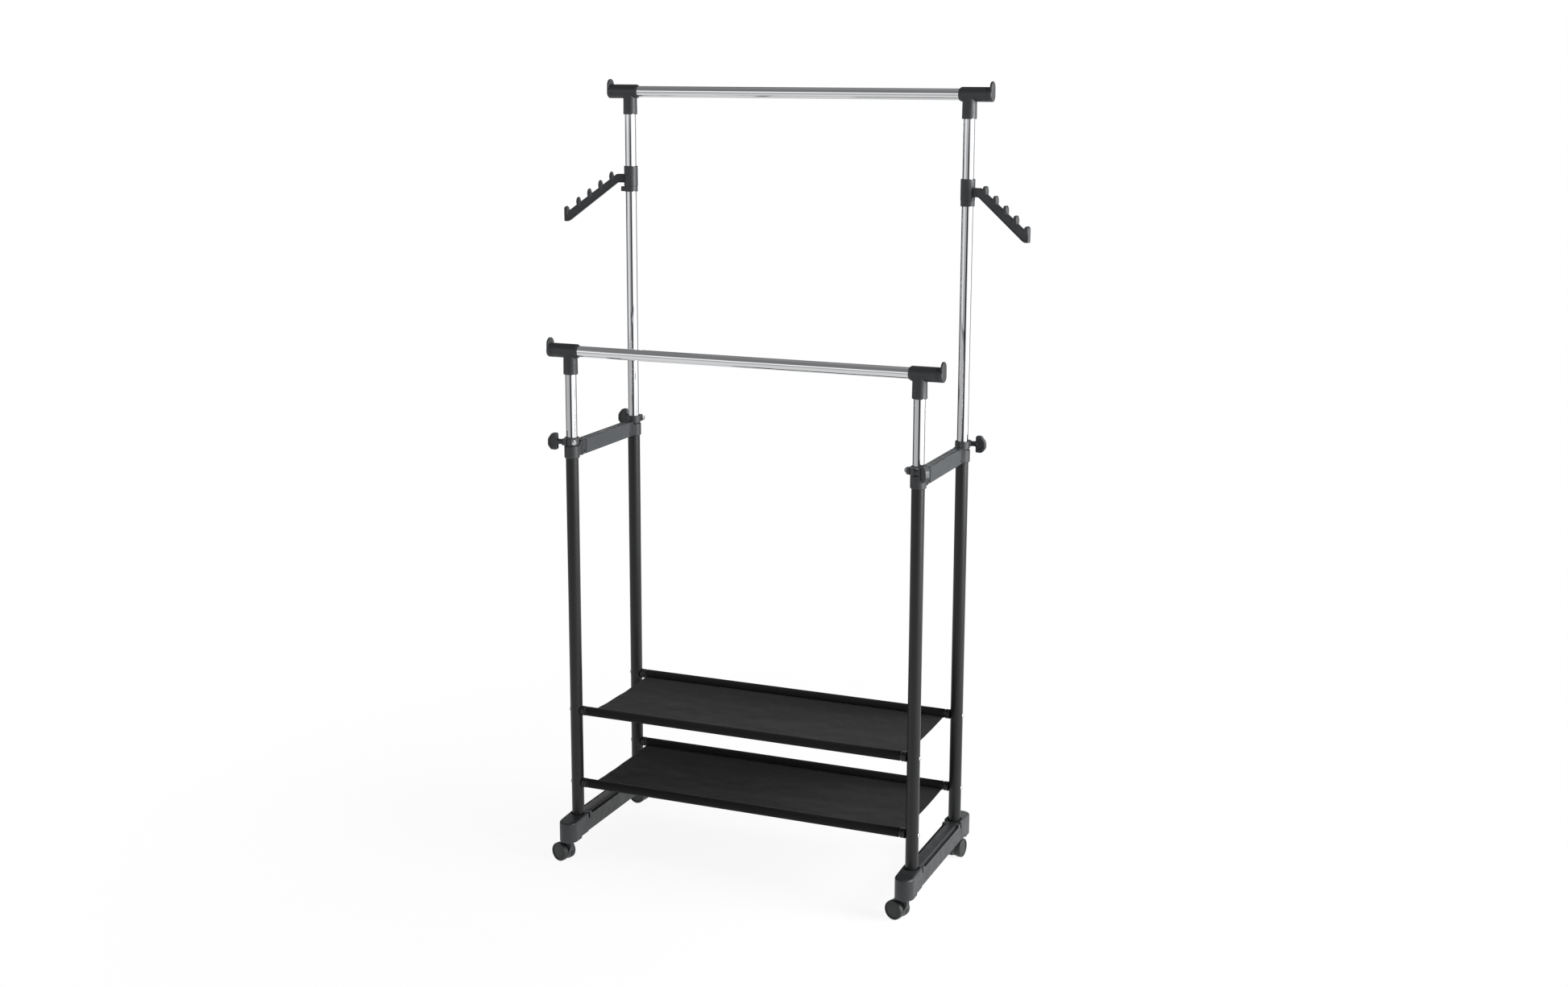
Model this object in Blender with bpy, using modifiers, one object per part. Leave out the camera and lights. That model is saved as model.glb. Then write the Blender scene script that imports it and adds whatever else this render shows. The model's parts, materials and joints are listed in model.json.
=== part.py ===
# Rolling clothes rack: two feet on twin-wheel casters, four telescopic posts, two hanging
# rails at different heights, two swinging hook arms and two fabric shelves.
# Units are metres. The floor is z = 0, +Y points to the back and +X to the right.

import math

import bmesh
import bpy
from mathutils import Matrix

# ---------------------------------------------------------------- driving dimensions
POST_X = 0.360              # post axes stand at +-POST_X, +-POST_Y
POST_Y = 0.135
GAP = 0.0003                # clearance between pieces that touch
RUNNING = 0.00006           # clearance round a shaft that turns

LOWER_R = 0.0125            # black lower posts
LOWER_WALL = 0.0012
UPPER_R = 0.0110            # bright upper posts and rails
UPPER_WALL = 0.0010

WHEEL_R = 0.0192            # to the flat facet that stands on the floor
WHEEL_HALF_TRACK = 0.0155
CASTER_TRAIL = 0.0165
STEM_R = 0.0039
AXLE_R = 0.0025
CASTER_TURN = {             # heading of each caster about its pivot, degrees
    "front_left": -17.0,
    "front_right": -17.0,
    "back_left": -5.0,
    "back_right": 84.0,
}

FOOT_LOW = 0.0445           # underside of the end blocks
FOOT_BAR_LOW = 0.0525       # underside of the bar between them
FOOT_TOP = 0.087
FOOT_END = 0.194            # half the foot's length
FOOT_HALF = 0.019           # half its width
SOCKET_TOP = 0.091
SOCKET_FLOOR = 0.0597
PIVOT_Y = 0.175             # caster pivots

COLLAR_LOW = 0.831
COLLAR_TOP = 0.8555
COLLAR_R = 0.0152
BEAM_LOW = 0.833
BEAM_TOP = 0.863
BEAM_HALF = 0.010
STUB_END = 0.042            # from the post axis to the end of a collar's stub

CLAMP_LOW = 0.8580
CLAMP_TOP = 0.8725
CLAMP_R = 0.0148
CLAMP_BOLT_OFFSET = 0.0163  # from the post axis to the clamp bolt
CLAMP_TURN = {              # heading of each knob about its post, degrees
    "front_left": 180.0,
    "front_right": -29.0,
    "back_left": 180.0,
    "back_right": 0.0,
}
BOLT_R = 0.0024
LUG_HALF = 0.0108

RAIL_Z = {"front": 1.044, "back": 1.541}
UPPER_LOW = {"front": 0.440, "back": 0.700}    # lower ends of the bright posts, inside the black
TEE_R = 0.014
TEE_INNER = 0.020           # from the post axis to the tee's inner and outer ends
TEE_OUTER = 0.047
TEE_STEM = 0.046
TONGUE_RISE = 0.0245        # top of the end tongue above the rail's axis

SLEEVE_LOW = {"left": 1.350, "right": 1.341}
SLEEVE_HEIGHT = 0.041
HOOK_RING_HEIGHT = 0.0115
HOOK_TURN = 16.4            # both arms point this far forward of sideways, degrees
PEG_FIRST = 0.0404          # reach of the first peg, and the steps to the next one
PEG_STEP = 0.0232
PEG_DROP = 0.0174
PEG_COUNT = 5
PEG_HALF = 0.0048
ARM_HALF = 0.0045

SHELF_Z = {"lower": 0.1565, "upper": 0.3100}   # rod axes
ROD_R = 0.0080
ROD_END_R = 0.0098
HEM_R = 0.0093
FABRIC_HALF = 0.3300
FABRIC_SINK = 0.0062        # the fabric lies this far below the rods' axes
FABRIC_THICK = 0.0018
FABRIC_PROUD = 0.0003       # height of the resting face over the rest of the web

ROUND = 20                  # sides of a round piece
SMALL_ROUND = 12

SIDES = (("left", -1), ("right", 1))
ENDS = (("front", -1), ("back", 1))

# ---------------------------------------------------------------- materials
LOOKS = {
    "black_plastic": ((0.036, 0.039, 0.043), 0.55, 0.0),
    "black_paint": ((0.022, 0.023, 0.025), 0.42, 0.3),
    "chrome": ((0.80, 0.81, 0.83), 0.08, 1.0),
    "tyre_plastic": ((0.028, 0.030, 0.032), 0.60, 0.0),
    "zinc": ((0.60, 0.61, 0.62), 0.30, 1.0),
    "black_fabric": ((0.030, 0.030, 0.031), 0.90, 0.0),
}


def material(name):
    found = bpy.data.materials.get(name)
    if found:
        return found
    color, roughness, metallic = LOOKS[name]
    made = bpy.data.materials.new(name)
    made.use_nodes = True
    shader = made.node_tree.nodes["Principled BSDF"]
    shader.inputs["Base Color"].default_value = (*color, 1.0)
    shader.inputs["Roughness"].default_value = roughness
    shader.inputs["Metallic"].default_value = metallic
    return made


# ---------------------------------------------------------------- shape helpers
def scratch(mesh):
    # A short-lived object that carries modifiers until its mesh is taken.
    made = bpy.data.objects.new("scratch", mesh)
    bpy.context.scene.collection.objects.link(made)
    return made


def taken(obj):
    # The object's evaluated mesh, welded; the object itself is removed.
    bpy.context.view_layer.update()
    graph = bpy.context.evaluated_depsgraph_get()
    mesh = bpy.data.meshes.new_from_object(obj.evaluated_get(graph))
    mesh.transform(obj.matrix_world)
    bpy.data.objects.remove(obj)
    work = bmesh.new()
    work.from_mesh(mesh)
    bmesh.ops.remove_doubles(work, verts=work.verts, dist=1e-6)
    work.to_mesh(mesh)
    work.free()
    return mesh


def moved(mesh, x=0.0, y=0.0, z=0.0, turn=0.0):
    mesh.transform(Matrix.Translation((x, y, z)) @ Matrix.Rotation(math.radians(turn), 4, "Z"))
    return mesh


def along_x(mesh):
    # Turns a shape made round +Z so that it lies round +X.
    mesh.transform(Matrix.Rotation(math.radians(90.0), 4, "Y"))
    return mesh


def along_y(mesh):
    # Turns a shape made round +Z so that it lies round +Y.
    mesh.transform(Matrix.Rotation(math.radians(-90.0), 4, "X"))
    return mesh


def box(low, high):
    work = bmesh.new()
    bmesh.ops.create_cube(work, size=1.0)
    mesh = bpy.data.meshes.new("box")
    work.to_mesh(mesh)
    work.free()
    size = [b - a for a, b in zip(low, high)]
    centre = [(a + b) / 2 for a, b in zip(low, high)]
    mesh.transform(Matrix.Translation(centre) @ Matrix.Diagonal((*size, 1.0)))
    return mesh


def cylinder(radius, low, high, sides=ROUND):
    work = bmesh.new()
    bmesh.ops.create_cone(
        work, cap_ends=True, segments=sides, radius1=radius, radius2=radius, depth=high - low
    )
    bmesh.ops.rotate(work, verts=work.verts, matrix=Matrix.Rotation(math.pi / sides, 3, "Z"))
    mesh = bpy.data.meshes.new("cylinder")
    work.to_mesh(mesh)
    work.free()
    return moved(mesh, z=(low + high) / 2)


def turned(profile, sides=ROUND, loop=False):
    # A profile of (radius, z) points, outer side from top to bottom, swept round +Z.
    half = math.pi / sides
    points = [(r * math.cos(half), r * math.sin(half), z) for r, z in profile]
    edges = [(i, i + 1) for i in range(len(points) - 1)]
    if loop:
        edges.append((len(points) - 1, 0))
    mesh = bpy.data.meshes.new("profile")
    mesh.from_pydata(points, edges, [])
    obj = scratch(mesh)
    screw = obj.modifiers.new("turn", "SCREW")
    screw.axis = "Z"
    screw.angle = 2 * math.pi
    screw.steps = sides
    screw.render_steps = sides
    screw.use_merge_vertices = True
    screw.merge_threshold = 1e-5
    return taken(obj)


def tube(outer, inner, low, high, sides=ROUND):
    return turned([(outer, high), (outer, low), (inner, low), (inner, high)], sides, loop=True)


def plate(loops, low, high):
    # Flat outlines, the first one outside and the others holes, extruded from low to high in z.
    curve = bpy.data.curves.new("outline", "CURVE")
    curve.dimensions = "2D"
    curve.fill_mode = "BOTH"
    curve.extrude = (high - low) / 2
    for points in loops:
        spline = curve.splines.new("POLY")
        spline.points.add(len(points) - 1)
        for knot, (x, y) in zip(spline.points, points):
            knot.co = (x, y, 0.0, 1.0)
        spline.use_cyclic_u = True
    return moved(taken(scratch(curve)), z=(low + high) / 2)


def plate_across_x(loops, low, high):
    # The same, with outlines in (y, z) and the extrusion along x.
    mesh = plate(loops, low, high)
    mesh.transform(Matrix(((0, 0, 1, 0), (1, 0, 0, 0), (0, 1, 0, 0), (0, 0, 0, 1))))
    return mesh


def plate_across_y(loops, low, high):
    # The same, with outlines in (x, z) and the extrusion along y.
    mesh = plate(loops, low, high)
    mesh.transform(Matrix(((1, 0, 0, 0), (0, 0, -1, 0), (0, 1, 0, 0), (0, 0, 0, 1))))
    return mesh


def arc(cx, cy, radius, start, end, steps):
    turn = [math.radians(start + (end - start) * i / steps) for i in range(steps + 1)]
    return [(cx + radius * math.cos(a), cy + radius * math.sin(a)) for a in turn]


def rounded(mesh, width, segments=2, limit=50.0):
    obj = scratch(mesh)
    bevel = obj.modifiers.new("edges", "BEVEL")
    bevel.width = width
    bevel.segments = segments
    bevel.limit_method = "ANGLE"
    bevel.angle_limit = math.radians(limit)
    return taken(obj)


def combined(base, operation, *others):
    for other in others:
        obj = scratch(base)
        tool = scratch(other)
        cut = obj.modifiers.new("shape", "BOOLEAN")
        cut.operation = operation
        cut.solver = "EXACT"
        cut.object = tool
        base = taken(obj)
        bpy.data.objects.remove(tool)
    return base


def joined(base, *others):
    return combined(base, "UNION", *others)


def cut_from(base, *others):
    return combined(base, "DIFFERENCE", *others)


def running(radius, sides=ROUND):
    # Corner radius of a bore whose flats stay clear of a shaft of this radius.
    return (radius + RUNNING) / math.cos(math.pi / sides)


# ---------------------------------------------------------------- placing
def node(name, mesh, look, parent=None, at=(0.0, 0.0, 0.0), turn=0.0):
    obj = bpy.data.objects.new(name, mesh)
    obj.data.materials.clear()
    obj.data.materials.append(material(look))
    obj.data.shade_smooth()
    obj.data.set_sharp_from_angle(angle=math.radians(32.0))
    obj.location = at
    obj.rotation_euler = (0.0, 0.0, math.radians(turn))
    obj.parent = parent
    rack.objects.link(obj)
    return obj


def holder(name, at, turn=0.0, parent=None):
    empty = bpy.data.objects.new(name, None)
    empty.empty_display_size = 0.02
    empty.location = at
    empty.rotation_euler = (0.0, 0.0, math.radians(turn))
    empty.parent = parent
    rack.objects.link(empty)
    return empty


def corners():
    for end, sy in ENDS:
        for side, sx in SIDES:
            yield f"{end}_{side}", sx, sy


# ---------------------------------------------------------------- feet
def foot_outline():
    step_out, step_in = 0.118, 0.113
    bar_half = FOOT_HALF - 0.001
    centre = FOOT_END - FOOT_HALF
    points = arc(0.0, centre, FOOT_HALF, 0.0, 180.0, 12)
    points += [(-FOOT_HALF, step_out), (-bar_half, step_in)]
    points += [(-bar_half, -step_in), (-FOOT_HALF, -step_out)]
    points += arc(0.0, -centre, FOOT_HALF, 180.0, 360.0, 12)
    points += [(FOOT_HALF, -step_out), (bar_half, -step_in)]
    points += [(bar_half, step_in), (FOOT_HALF, step_out)]
    return points


def foot_mesh():
    bar_top = FOOT_TOP - 0.002
    block_step = 0.156
    groove_low, groove_in, groove_out, groove_end = bar_top - 0.005, 0.0112, 0.0152, 0.104
    notch_low, notch_near, notch_far = 0.0805, 0.1215, 0.1262
    foot = rounded(plate([foot_outline()], FOOT_LOW, FOOT_TOP), 0.0022)
    foot = cut_from(
        foot,
        box((-0.03, -block_step, 0.04), (0.03, block_step, FOOT_BAR_LOW)),
        box((-0.03, -0.1165, bar_top), (0.03, 0.1165, 0.10)),
    )
    for sx in (-1, 1):
        x_low, x_high = sorted((sx * groove_in, sx * groove_out))
        foot = cut_from(foot, box((x_low, -groove_end, groove_low), (x_high, groove_end, 0.10)))
    for sy in (-1, 1):
        rim = moved(cylinder(0.0165, 0.075, SOCKET_TOP), y=sy * POST_Y)
        bore = moved(cylinder(LOWER_R + GAP, SOCKET_FLOOR, 0.10), y=sy * POST_Y)
        stem = moved(cylinder(running(STEM_R, SMALL_ROUND), 0.04, 0.066, SMALL_ROUND), y=sy * PIVOT_Y)
        foot = cut_from(joined(foot, rim), bore, stem)
        y_low, y_high = sorted((sy * notch_near, sy * notch_far))
        for sx in (-1, 1):
            x_low, x_high = sorted((sx * 0.0125, sx * 0.022))
            foot = cut_from(foot, box((x_low, y_low, notch_low), (x_high, y_high, 0.10)))
    return foot


def make_feet():
    mesh = foot_mesh()
    for side, sx in SIDES:
        node(f"foot_{side}", mesh, "black_plastic", at=(sx * POST_X, 0.0, 0.0))


# ---------------------------------------------------------------- casters
def caster_housing_mesh():
    # The pivot is at x = 0; the wheels' axle is CASTER_TRAIL behind it, at -x.
    axle_x, web_half = -CASTER_TRAIL, 0.0048
    web = along_y(cylinder(0.0186, -web_half, web_half))
    web.transform(Matrix.Translation((axle_x, 0.0, WHEEL_R)))
    web = cut_from(web, box((-0.05, -0.01, -0.01), (0.02, 0.01, 0.0055)))
    neck = box((axle_x, -web_half + 0.0004, 0.017), (0.0062, web_half - 0.0004, 0.0410))
    boss = turned([(0.0, 0.0442), (0.0088, 0.0442), (0.0088, 0.0392), (0.0, 0.0392)])
    stem = cylinder(STEM_R, 0.040, 0.063, SMALL_ROUND)
    housing = joined(web, neck, boss, stem)
    axle_hole = along_y(cylinder(AXLE_R + GAP, -0.02, 0.02, SMALL_ROUND))
    axle_hole.transform(Matrix.Translation((axle_x, 0.0, WHEEL_R)))
    return cut_from(housing, axle_hole)


def wheel_mesh():
    # Round +Z, inner face at z = 0 and the closed outer disc at the top.
    out = WHEEL_HALF_TRACK - 0.0052
    rim = WHEEL_R / math.cos(math.pi / ROUND)
    bore = running(AXLE_R)
    profile = [
        (0.0, out - 0.0006), (0.0152, out - 0.0009), (0.0162, out),
        (rim - 0.0014, out), (rim, out - 0.0014), (rim, 0.0),
        (0.0150, 0.0), (0.0150, 0.0024), (0.0060, 0.0024), (0.0060, 0.0),
        (bore, 0.0), (bore, out - 0.0022), (0.0, out - 0.0022),
    ]
    return turned(profile)


def make_casters():
    housing = caster_housing_mesh()
    half_axle = WHEEL_HALF_TRACK - 0.0032
    axle = along_y(cylinder(AXLE_R, -half_axle, half_axle, SMALL_ROUND))
    wheel = wheel_mesh()
    wheels = {"near": wheel.copy(), "far": wheel.copy()}
    wheels["near"].transform(Matrix.Rotation(math.radians(90.0), 4, "X"))
    wheels["far"].transform(Matrix.Rotation(math.radians(-90.0), 4, "X"))
    for corner, sx, sy in corners():
        pivot = holder(
            f"pivot_{corner}", (sx * POST_X, sy * PIVOT_Y, 0.0), CASTER_TURN[corner]
        )
        centre = (-CASTER_TRAIL, 0.0, WHEEL_R)
        node(f"caster_housing_{corner}", housing, "black_plastic", pivot)
        node(f"caster_axle_{corner}", axle, "zinc", pivot, centre)
        for which, sign in (("near", -1), ("far", 1)):
            at = (centre[0], sign * 0.0052, centre[2])
            node(f"wheel_{corner}_{which}", wheels[which], "tyre_plastic", pivot, at)


# ---------------------------------------------------------------- lower frame
def make_lower_posts():
    post = tube(LOWER_R, LOWER_R - LOWER_WALL, SOCKET_FLOOR + GAP, CLAMP_TOP - 0.001)
    for corner, sx, sy in corners():
        node(f"lower_post_{corner}", post, "black_paint", at=(sx * POST_X, sy * POST_Y, 0.0))


def collar_mesh():
    # A ring round the post with a stub toward +Y that the beam's tongue plugs into.
    ring = turned([
        (0.0, COLLAR_TOP), (COLLAR_R, COLLAR_TOP), (COLLAR_R, COLLAR_LOW + 0.0015),
        (COLLAR_R - 0.001, COLLAR_LOW), (0.0, COLLAR_LOW),
    ])
    side = [
        (0.006, BEAM_LOW), (STUB_END, BEAM_LOW), (STUB_END, BEAM_TOP), (0.0205, BEAM_TOP),
        (0.0168, COLLAR_TOP - 0.0002), (0.006, COLLAR_TOP - 0.0008),
    ]
    stub = plate_across_x([side], -BEAM_HALF, BEAM_HALF)
    pocket = box((-0.0073, STUB_END - 0.017, 0.8373), (0.0073, STUB_END + 0.01, 0.8587))
    bore = cylinder(LOWER_R + GAP, 0.80, 0.90)
    return cut_from(joined(ring, stub), bore, pocket)


def beam_mesh():
    end = POST_Y - STUB_END - GAP
    tongue = end + 0.016
    beam = box((-BEAM_HALF, -end, BEAM_LOW), (BEAM_HALF, end, BEAM_TOP))
    beam = rounded(beam, 0.0012, 1)
    beam = joined(beam, box((-0.007, -tongue, 0.8376), (0.007, tongue, 0.8584)))
    for x in (-0.0045, 0.0045):
        groove = box((x - 0.0015, -end - 0.01, BEAM_TOP - 0.0015), (x + 0.0015, end + 0.01, 0.87))
        beam = cut_from(beam, groove)
    return beam


def clamp_ring_mesh(lug_side):
    # A split band with two lugs toward lug_side * y; the bolt crosses them along x.
    band = cylinder(CLAMP_R, CLAMP_LOW, CLAMP_TOP)
    reach = CLAMP_BOLT_OFFSET + 0.0055
    y_low, y_high = sorted((lug_side * 0.006, lug_side * reach))
    lug = rounded(box((-LUG_HALF, y_low, CLAMP_LOW), (LUG_HALF, y_high, CLAMP_TOP)), 0.0012, 1)
    y_low, y_high = sorted((lug_side * 0.004, lug_side * 0.030))
    slit = box((-0.0013, y_low, 0.85), (0.0013, y_high, 0.88))
    hole = along_x(cylinder(running(BOLT_R, SMALL_ROUND), -0.02, 0.02, SMALL_ROUND))
    hole.transform(Matrix.Translation((0.0, lug_side * CLAMP_BOLT_OFFSET, bolt_z())))
    bore = cylinder(LOWER_R + GAP, 0.84, 0.90)
    return cut_from(joined(band, lug), bore, slit, hole)


def bolt_z():
    return (CLAMP_LOW + CLAMP_TOP) / 2


def knob_mesh():
    # Round the bolt's axis, which is +X: bolt, stem and a flat wing.
    inner, outer = 0.0225, 0.0450
    wing_outline = [(inner + 0.001, -0.0165), (inner + 0.003, -0.0178)]
    wing_outline += arc(outer - 0.0115, -0.0065, 0.0113, -80.0, 0.0, 5)
    wing_outline += arc(outer - 0.0155, 0.0045, 0.0135, 12.0, 88.0, 5)
    wing_outline += [(inner + 0.004, 0.0178), (inner, 0.0150)]
    wing = rounded(plate_across_y([wing_outline], -0.0058, 0.0058), 0.0016)
    stem = along_x(turned([
        (0.0, 0.026), (0.0062, 0.026), (0.0055, 0.017), (0.0055, LUG_HALF + GAP),
        (0.0, LUG_HALF + GAP),
    ], SMALL_ROUND))
    bolt = along_x(cylinder(BOLT_R, -0.0180, 0.014, SMALL_ROUND))
    return joined(wing, stem, bolt)


def nut_mesh():
    nut = along_x(cylinder(0.0050, -LUG_HALF - 0.0053, -LUG_HALF - GAP, 6))
    bore = cylinder(running(BOLT_R, SMALL_ROUND), -0.02, 0.0, SMALL_ROUND)
    return cut_from(nut, along_x(bore))


def make_side_brackets():
    front = collar_mesh()
    back = front.copy()
    back.transform(Matrix.Rotation(math.pi, 4, "Z"))
    beam = beam_mesh()
    for side, sx in SIDES:
        node(f"bracket_beam_{side}", beam, "black_plastic", at=(sx * POST_X, 0.0, 0.0))
    for corner, sx, sy in corners():
        mesh = front if sy < 0 else back
        node(f"bracket_collar_{corner}", mesh, "black_plastic", at=(sx * POST_X, sy * POST_Y, 0.0))


def make_clamps():
    rings = {sign: clamp_ring_mesh(sign) for sign in (-1, 1)}
    knob, nut = knob_mesh(), nut_mesh()
    for corner, sx, sy in corners():
        lug = sy * sx                # in the clamp's own frame, whose +x is the knob's heading
        post = holder(f"clamp_{corner}", (sx * POST_X, sy * POST_Y, 0.0), CLAMP_TURN[corner])
        at = (0.0, lug * CLAMP_BOLT_OFFSET, bolt_z())
        node(f"clamp_ring_{corner}", rings[lug], "black_plastic", post)
        node(f"clamp_nut_{corner}", nut, "zinc", post, at)
        node(f"clamp_knob_{corner}", knob, "black_plastic", post, at)


# ---------------------------------------------------------------- masts and rails
def tee_mesh():
    # Round the rail's axis at the origin: the post is below, the outer end at +X.
    body = turned([
        (0.0, TEE_OUTER), (TEE_R - 0.002, TEE_OUTER), (TEE_R, TEE_OUTER - 0.002),
        (TEE_R, -TEE_INNER + 0.001), (TEE_R - 0.001, -TEE_INNER), (0.0, -TEE_INNER),
    ])
    body = along_x(body)
    stem = turned([
        (0.0, 0.0), (TEE_R - 0.0003, 0.0), (TEE_R - 0.0003, -TEE_STEM + 0.001),
        (TEE_R - 0.0013, -TEE_STEM), (0.0, -TEE_STEM),
    ])
    tip = TONGUE_RISE - 0.0122
    outline = arc(0.0, tip, 0.0122, 0.0, 180.0, 8) + arc(0.0, 0.0, 0.0128, 195.0, 345.0, 6)
    tongue = plate_across_x([outline], TEE_OUTER - 0.0052, TEE_OUTER - 0.0003)
    tongue = rounded(tongue, 0.0012, 1)
    tee = joined(body, stem, tongue)
    rail_bore = along_x(cylinder(UPPER_R + GAP, -0.03, -0.0080))
    post_bore = cylinder(UPPER_R + GAP, -0.06, -0.0140)
    return cut_from(tee, rail_bore, post_bore)


def make_mast(end, sy):
    rail_z = RAIL_Z[end]
    mast = holder(f"mast_{end}", (0.0, sy * POST_Y, rail_z))
    post = tube(UPPER_R, UPPER_R - UPPER_WALL, UPPER_LOW[end] - rail_z, -0.0145)
    rail_half = POST_X - 0.0086
    rail = along_x(tube(UPPER_R, UPPER_R - UPPER_WALL, -rail_half, rail_half))
    right = tee_mesh()
    left = right.copy()
    left.transform(Matrix.Rotation(math.pi, 4, "Z"))
    node(f"rail_{end}", rail, "chrome", mast)
    for side, sx in SIDES:
        node(f"upper_post_{end}_{side}", post, "chrome", mast, (sx * POST_X, 0.0, 0.0))
        tee = right if sx > 0 else left
        node(f"tee_{end}_{side}", tee, "black_plastic", mast, (sx * POST_X, 0.0, 0.0))
    return mast


def arm_outline():
    # In (reach, height above the sleeve's foot): a short level root, then a slope with pegs.
    slope = PEG_DROP / PEG_STEP
    top_first = 0.016

    def edge(reach):
        return top_first - slope * (reach - PEG_FIRST)

    points = [(0.008, 0.007), (0.024, 0.007)]
    last = PEG_FIRST + (PEG_COUNT - 1) * PEG_STEP
    tip = last + 0.0068
    low = edge(tip) - 0.0215
    points += [(tip - 0.0125, low + 0.003), (tip - 0.008, low), (tip - 0.0008, low)]
    points += [(tip, low + 0.002)]
    for i in reversed(range(PEG_COUNT)):
        reach = PEG_FIRST + i * PEG_STEP
        top = edge(reach) + 0.012
        inner_foot = edge(reach - PEG_HALF)
        if i < PEG_COUNT - 1:
            points.append((reach + PEG_HALF, edge(reach + PEG_HALF)))
        points += arc(reach, top - PEG_HALF, PEG_HALF, 0.0, 180.0, 5)
        points.append((reach - PEG_HALF, inner_foot))
    points += [(0.0285, 0.0250), (0.008, 0.0250)]
    return points


def hook_arm_mesh():
    # The arm reaches along +X from a sleeve round +Z.
    arm = rounded(plate_across_y([arm_outline()], -ARM_HALF, ARM_HALF), 0.0008, 1)
    sleeve = turned([
        (0.0, SLEEVE_HEIGHT), (TEE_R - 0.0008, SLEEVE_HEIGHT), (TEE_R, SLEEVE_HEIGHT - 0.0008),
        (TEE_R, 0.0), (0.0, 0.0),
    ])
    return cut_from(joined(sleeve, arm), cylinder(running(UPPER_R), -0.01, 0.06))


def hook_ring_mesh():
    # A set-screw ring below the sleeve, with a tab toward +X.
    ring = cylinder(0.0137, -HOOK_RING_HEIGHT, -GAP)
    tab = rounded(
        box((0.006, -0.0045, -HOOK_RING_HEIGHT + 0.0003), (0.0215, 0.0045, -GAP - 0.0006)),
        0.0008, 1,
    )
    return cut_from(joined(ring, tab), cylinder(UPPER_R + GAP, -0.03, 0.03))


def make_hooks(mast):
    arm, ring = hook_arm_mesh(), hook_ring_mesh()
    for side, sx in SIDES:
        at = (sx * POST_X, 0.0, SLEEVE_LOW[side] - RAIL_Z["back"])
        post = holder(f"hook_{side}", at, parent=mast)
        arm_turn = -HOOK_TURN if sx > 0 else 180.0 + HOOK_TURN
        node(f"hook_arm_{side}", arm, "black_plastic", post, turn=arm_turn)
        node(f"hook_ring_{side}", ring, "black_plastic", post, turn=180.0 if sx < 0 else 90.0)


# ---------------------------------------------------------------- shelves
def rod_mesh():
    # A steel tube between two posts with a wider end fitting at each end.
    end = POST_X - LOWER_R - GAP
    fitting = FABRIC_HALF + 0.0012
    bore = ROD_R - 0.001
    profile = [
        (bore, end), (ROD_END_R - 0.001, end), (ROD_END_R, end - 0.001), (ROD_END_R, fitting),
        (ROD_R, fitting - 0.0004), (ROD_R, -fitting + 0.0004), (ROD_END_R, -fitting),
        (ROD_END_R, -end + 0.001), (ROD_END_R - 0.001, -end), (bore, -end),
    ]
    return along_x(turned(profile, loop=True))


def fabric_mesh():
    # Two hems round the rods and a flat web between them, in (y, z) round the rods' height.
    # The part of the web clear of the hems stands a little proud, as the face things rest on.
    top = math.degrees(math.asin(FABRIC_SINK / HEM_R))
    low = math.degrees(math.asin((FABRIC_SINK + FABRIC_THICK) / HEM_R))
    outline = arc(-POST_Y, 0.0, HEM_R, -top, 360.0 - low, 22)
    outline += arc(POST_Y, 0.0, HEM_R, 180.0 + low - 360.0, 180.0 + top, 22)
    panel, web = POST_Y - HEM_R - 0.0005, -FABRIC_SINK
    proud = web + FABRIC_PROUD
    outline += [(panel, web), (panel, proud), (-panel, proud), (-panel, web)]
    hole = ROD_R + GAP
    holes = [arc(sy * POST_Y, 0.0, hole, 7.5, 352.5, 23) for sy in (-1, 1)]
    return plate_across_x([outline, *holes], -FABRIC_HALF, FABRIC_HALF)


def make_shelves():
    rod, fabric = rod_mesh(), fabric_mesh()
    for shelf, z in SHELF_Z.items():
        for end, sy in ENDS:
            node(f"shelf_rod_{shelf}_{end}", rod, "black_paint", at=(0.0, sy * POST_Y, z))
        node(f"shelf_fabric_{shelf}", fabric, "black_fabric", at=(0.0, 0.0, z))


# ---------------------------------------------------------------- the whole rack
for old in list(bpy.data.objects):
    bpy.data.objects.remove(old)
rack = bpy.data.collections.new("rolling_clothes_rack")
bpy.context.scene.collection.children.link(rack)

make_feet()
make_casters()
make_lower_posts()
make_side_brackets()
make_clamps()
make_mast("front", -1)
make_hooks(make_mast("back", 1))
make_shelves()
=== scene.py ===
import json
import math

import bmesh
import bpy
from mathutils import Matrix, Vector, noise


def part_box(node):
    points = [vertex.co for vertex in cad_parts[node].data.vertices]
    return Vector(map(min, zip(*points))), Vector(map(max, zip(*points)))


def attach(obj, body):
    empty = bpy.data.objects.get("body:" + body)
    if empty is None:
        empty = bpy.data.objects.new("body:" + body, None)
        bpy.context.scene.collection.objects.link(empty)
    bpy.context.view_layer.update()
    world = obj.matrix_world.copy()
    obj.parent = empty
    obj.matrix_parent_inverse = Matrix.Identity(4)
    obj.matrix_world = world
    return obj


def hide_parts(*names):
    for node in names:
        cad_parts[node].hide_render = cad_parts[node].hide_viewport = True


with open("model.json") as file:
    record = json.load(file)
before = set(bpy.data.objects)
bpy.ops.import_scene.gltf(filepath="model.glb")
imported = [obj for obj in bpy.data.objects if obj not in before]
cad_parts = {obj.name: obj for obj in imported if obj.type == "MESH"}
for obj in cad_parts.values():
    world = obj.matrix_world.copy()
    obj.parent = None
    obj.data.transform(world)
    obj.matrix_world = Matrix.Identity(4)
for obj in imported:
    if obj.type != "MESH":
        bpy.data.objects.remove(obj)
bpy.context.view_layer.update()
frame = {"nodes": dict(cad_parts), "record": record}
sides = {"left": -1, "right": 1}
ends = {"front": -1, "back": 1}
postX, postY = 0.360, 0.135  # the four posts stand at these distances from the middle
print("frame loaded:", len(frame["nodes"]), "nodes")


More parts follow.
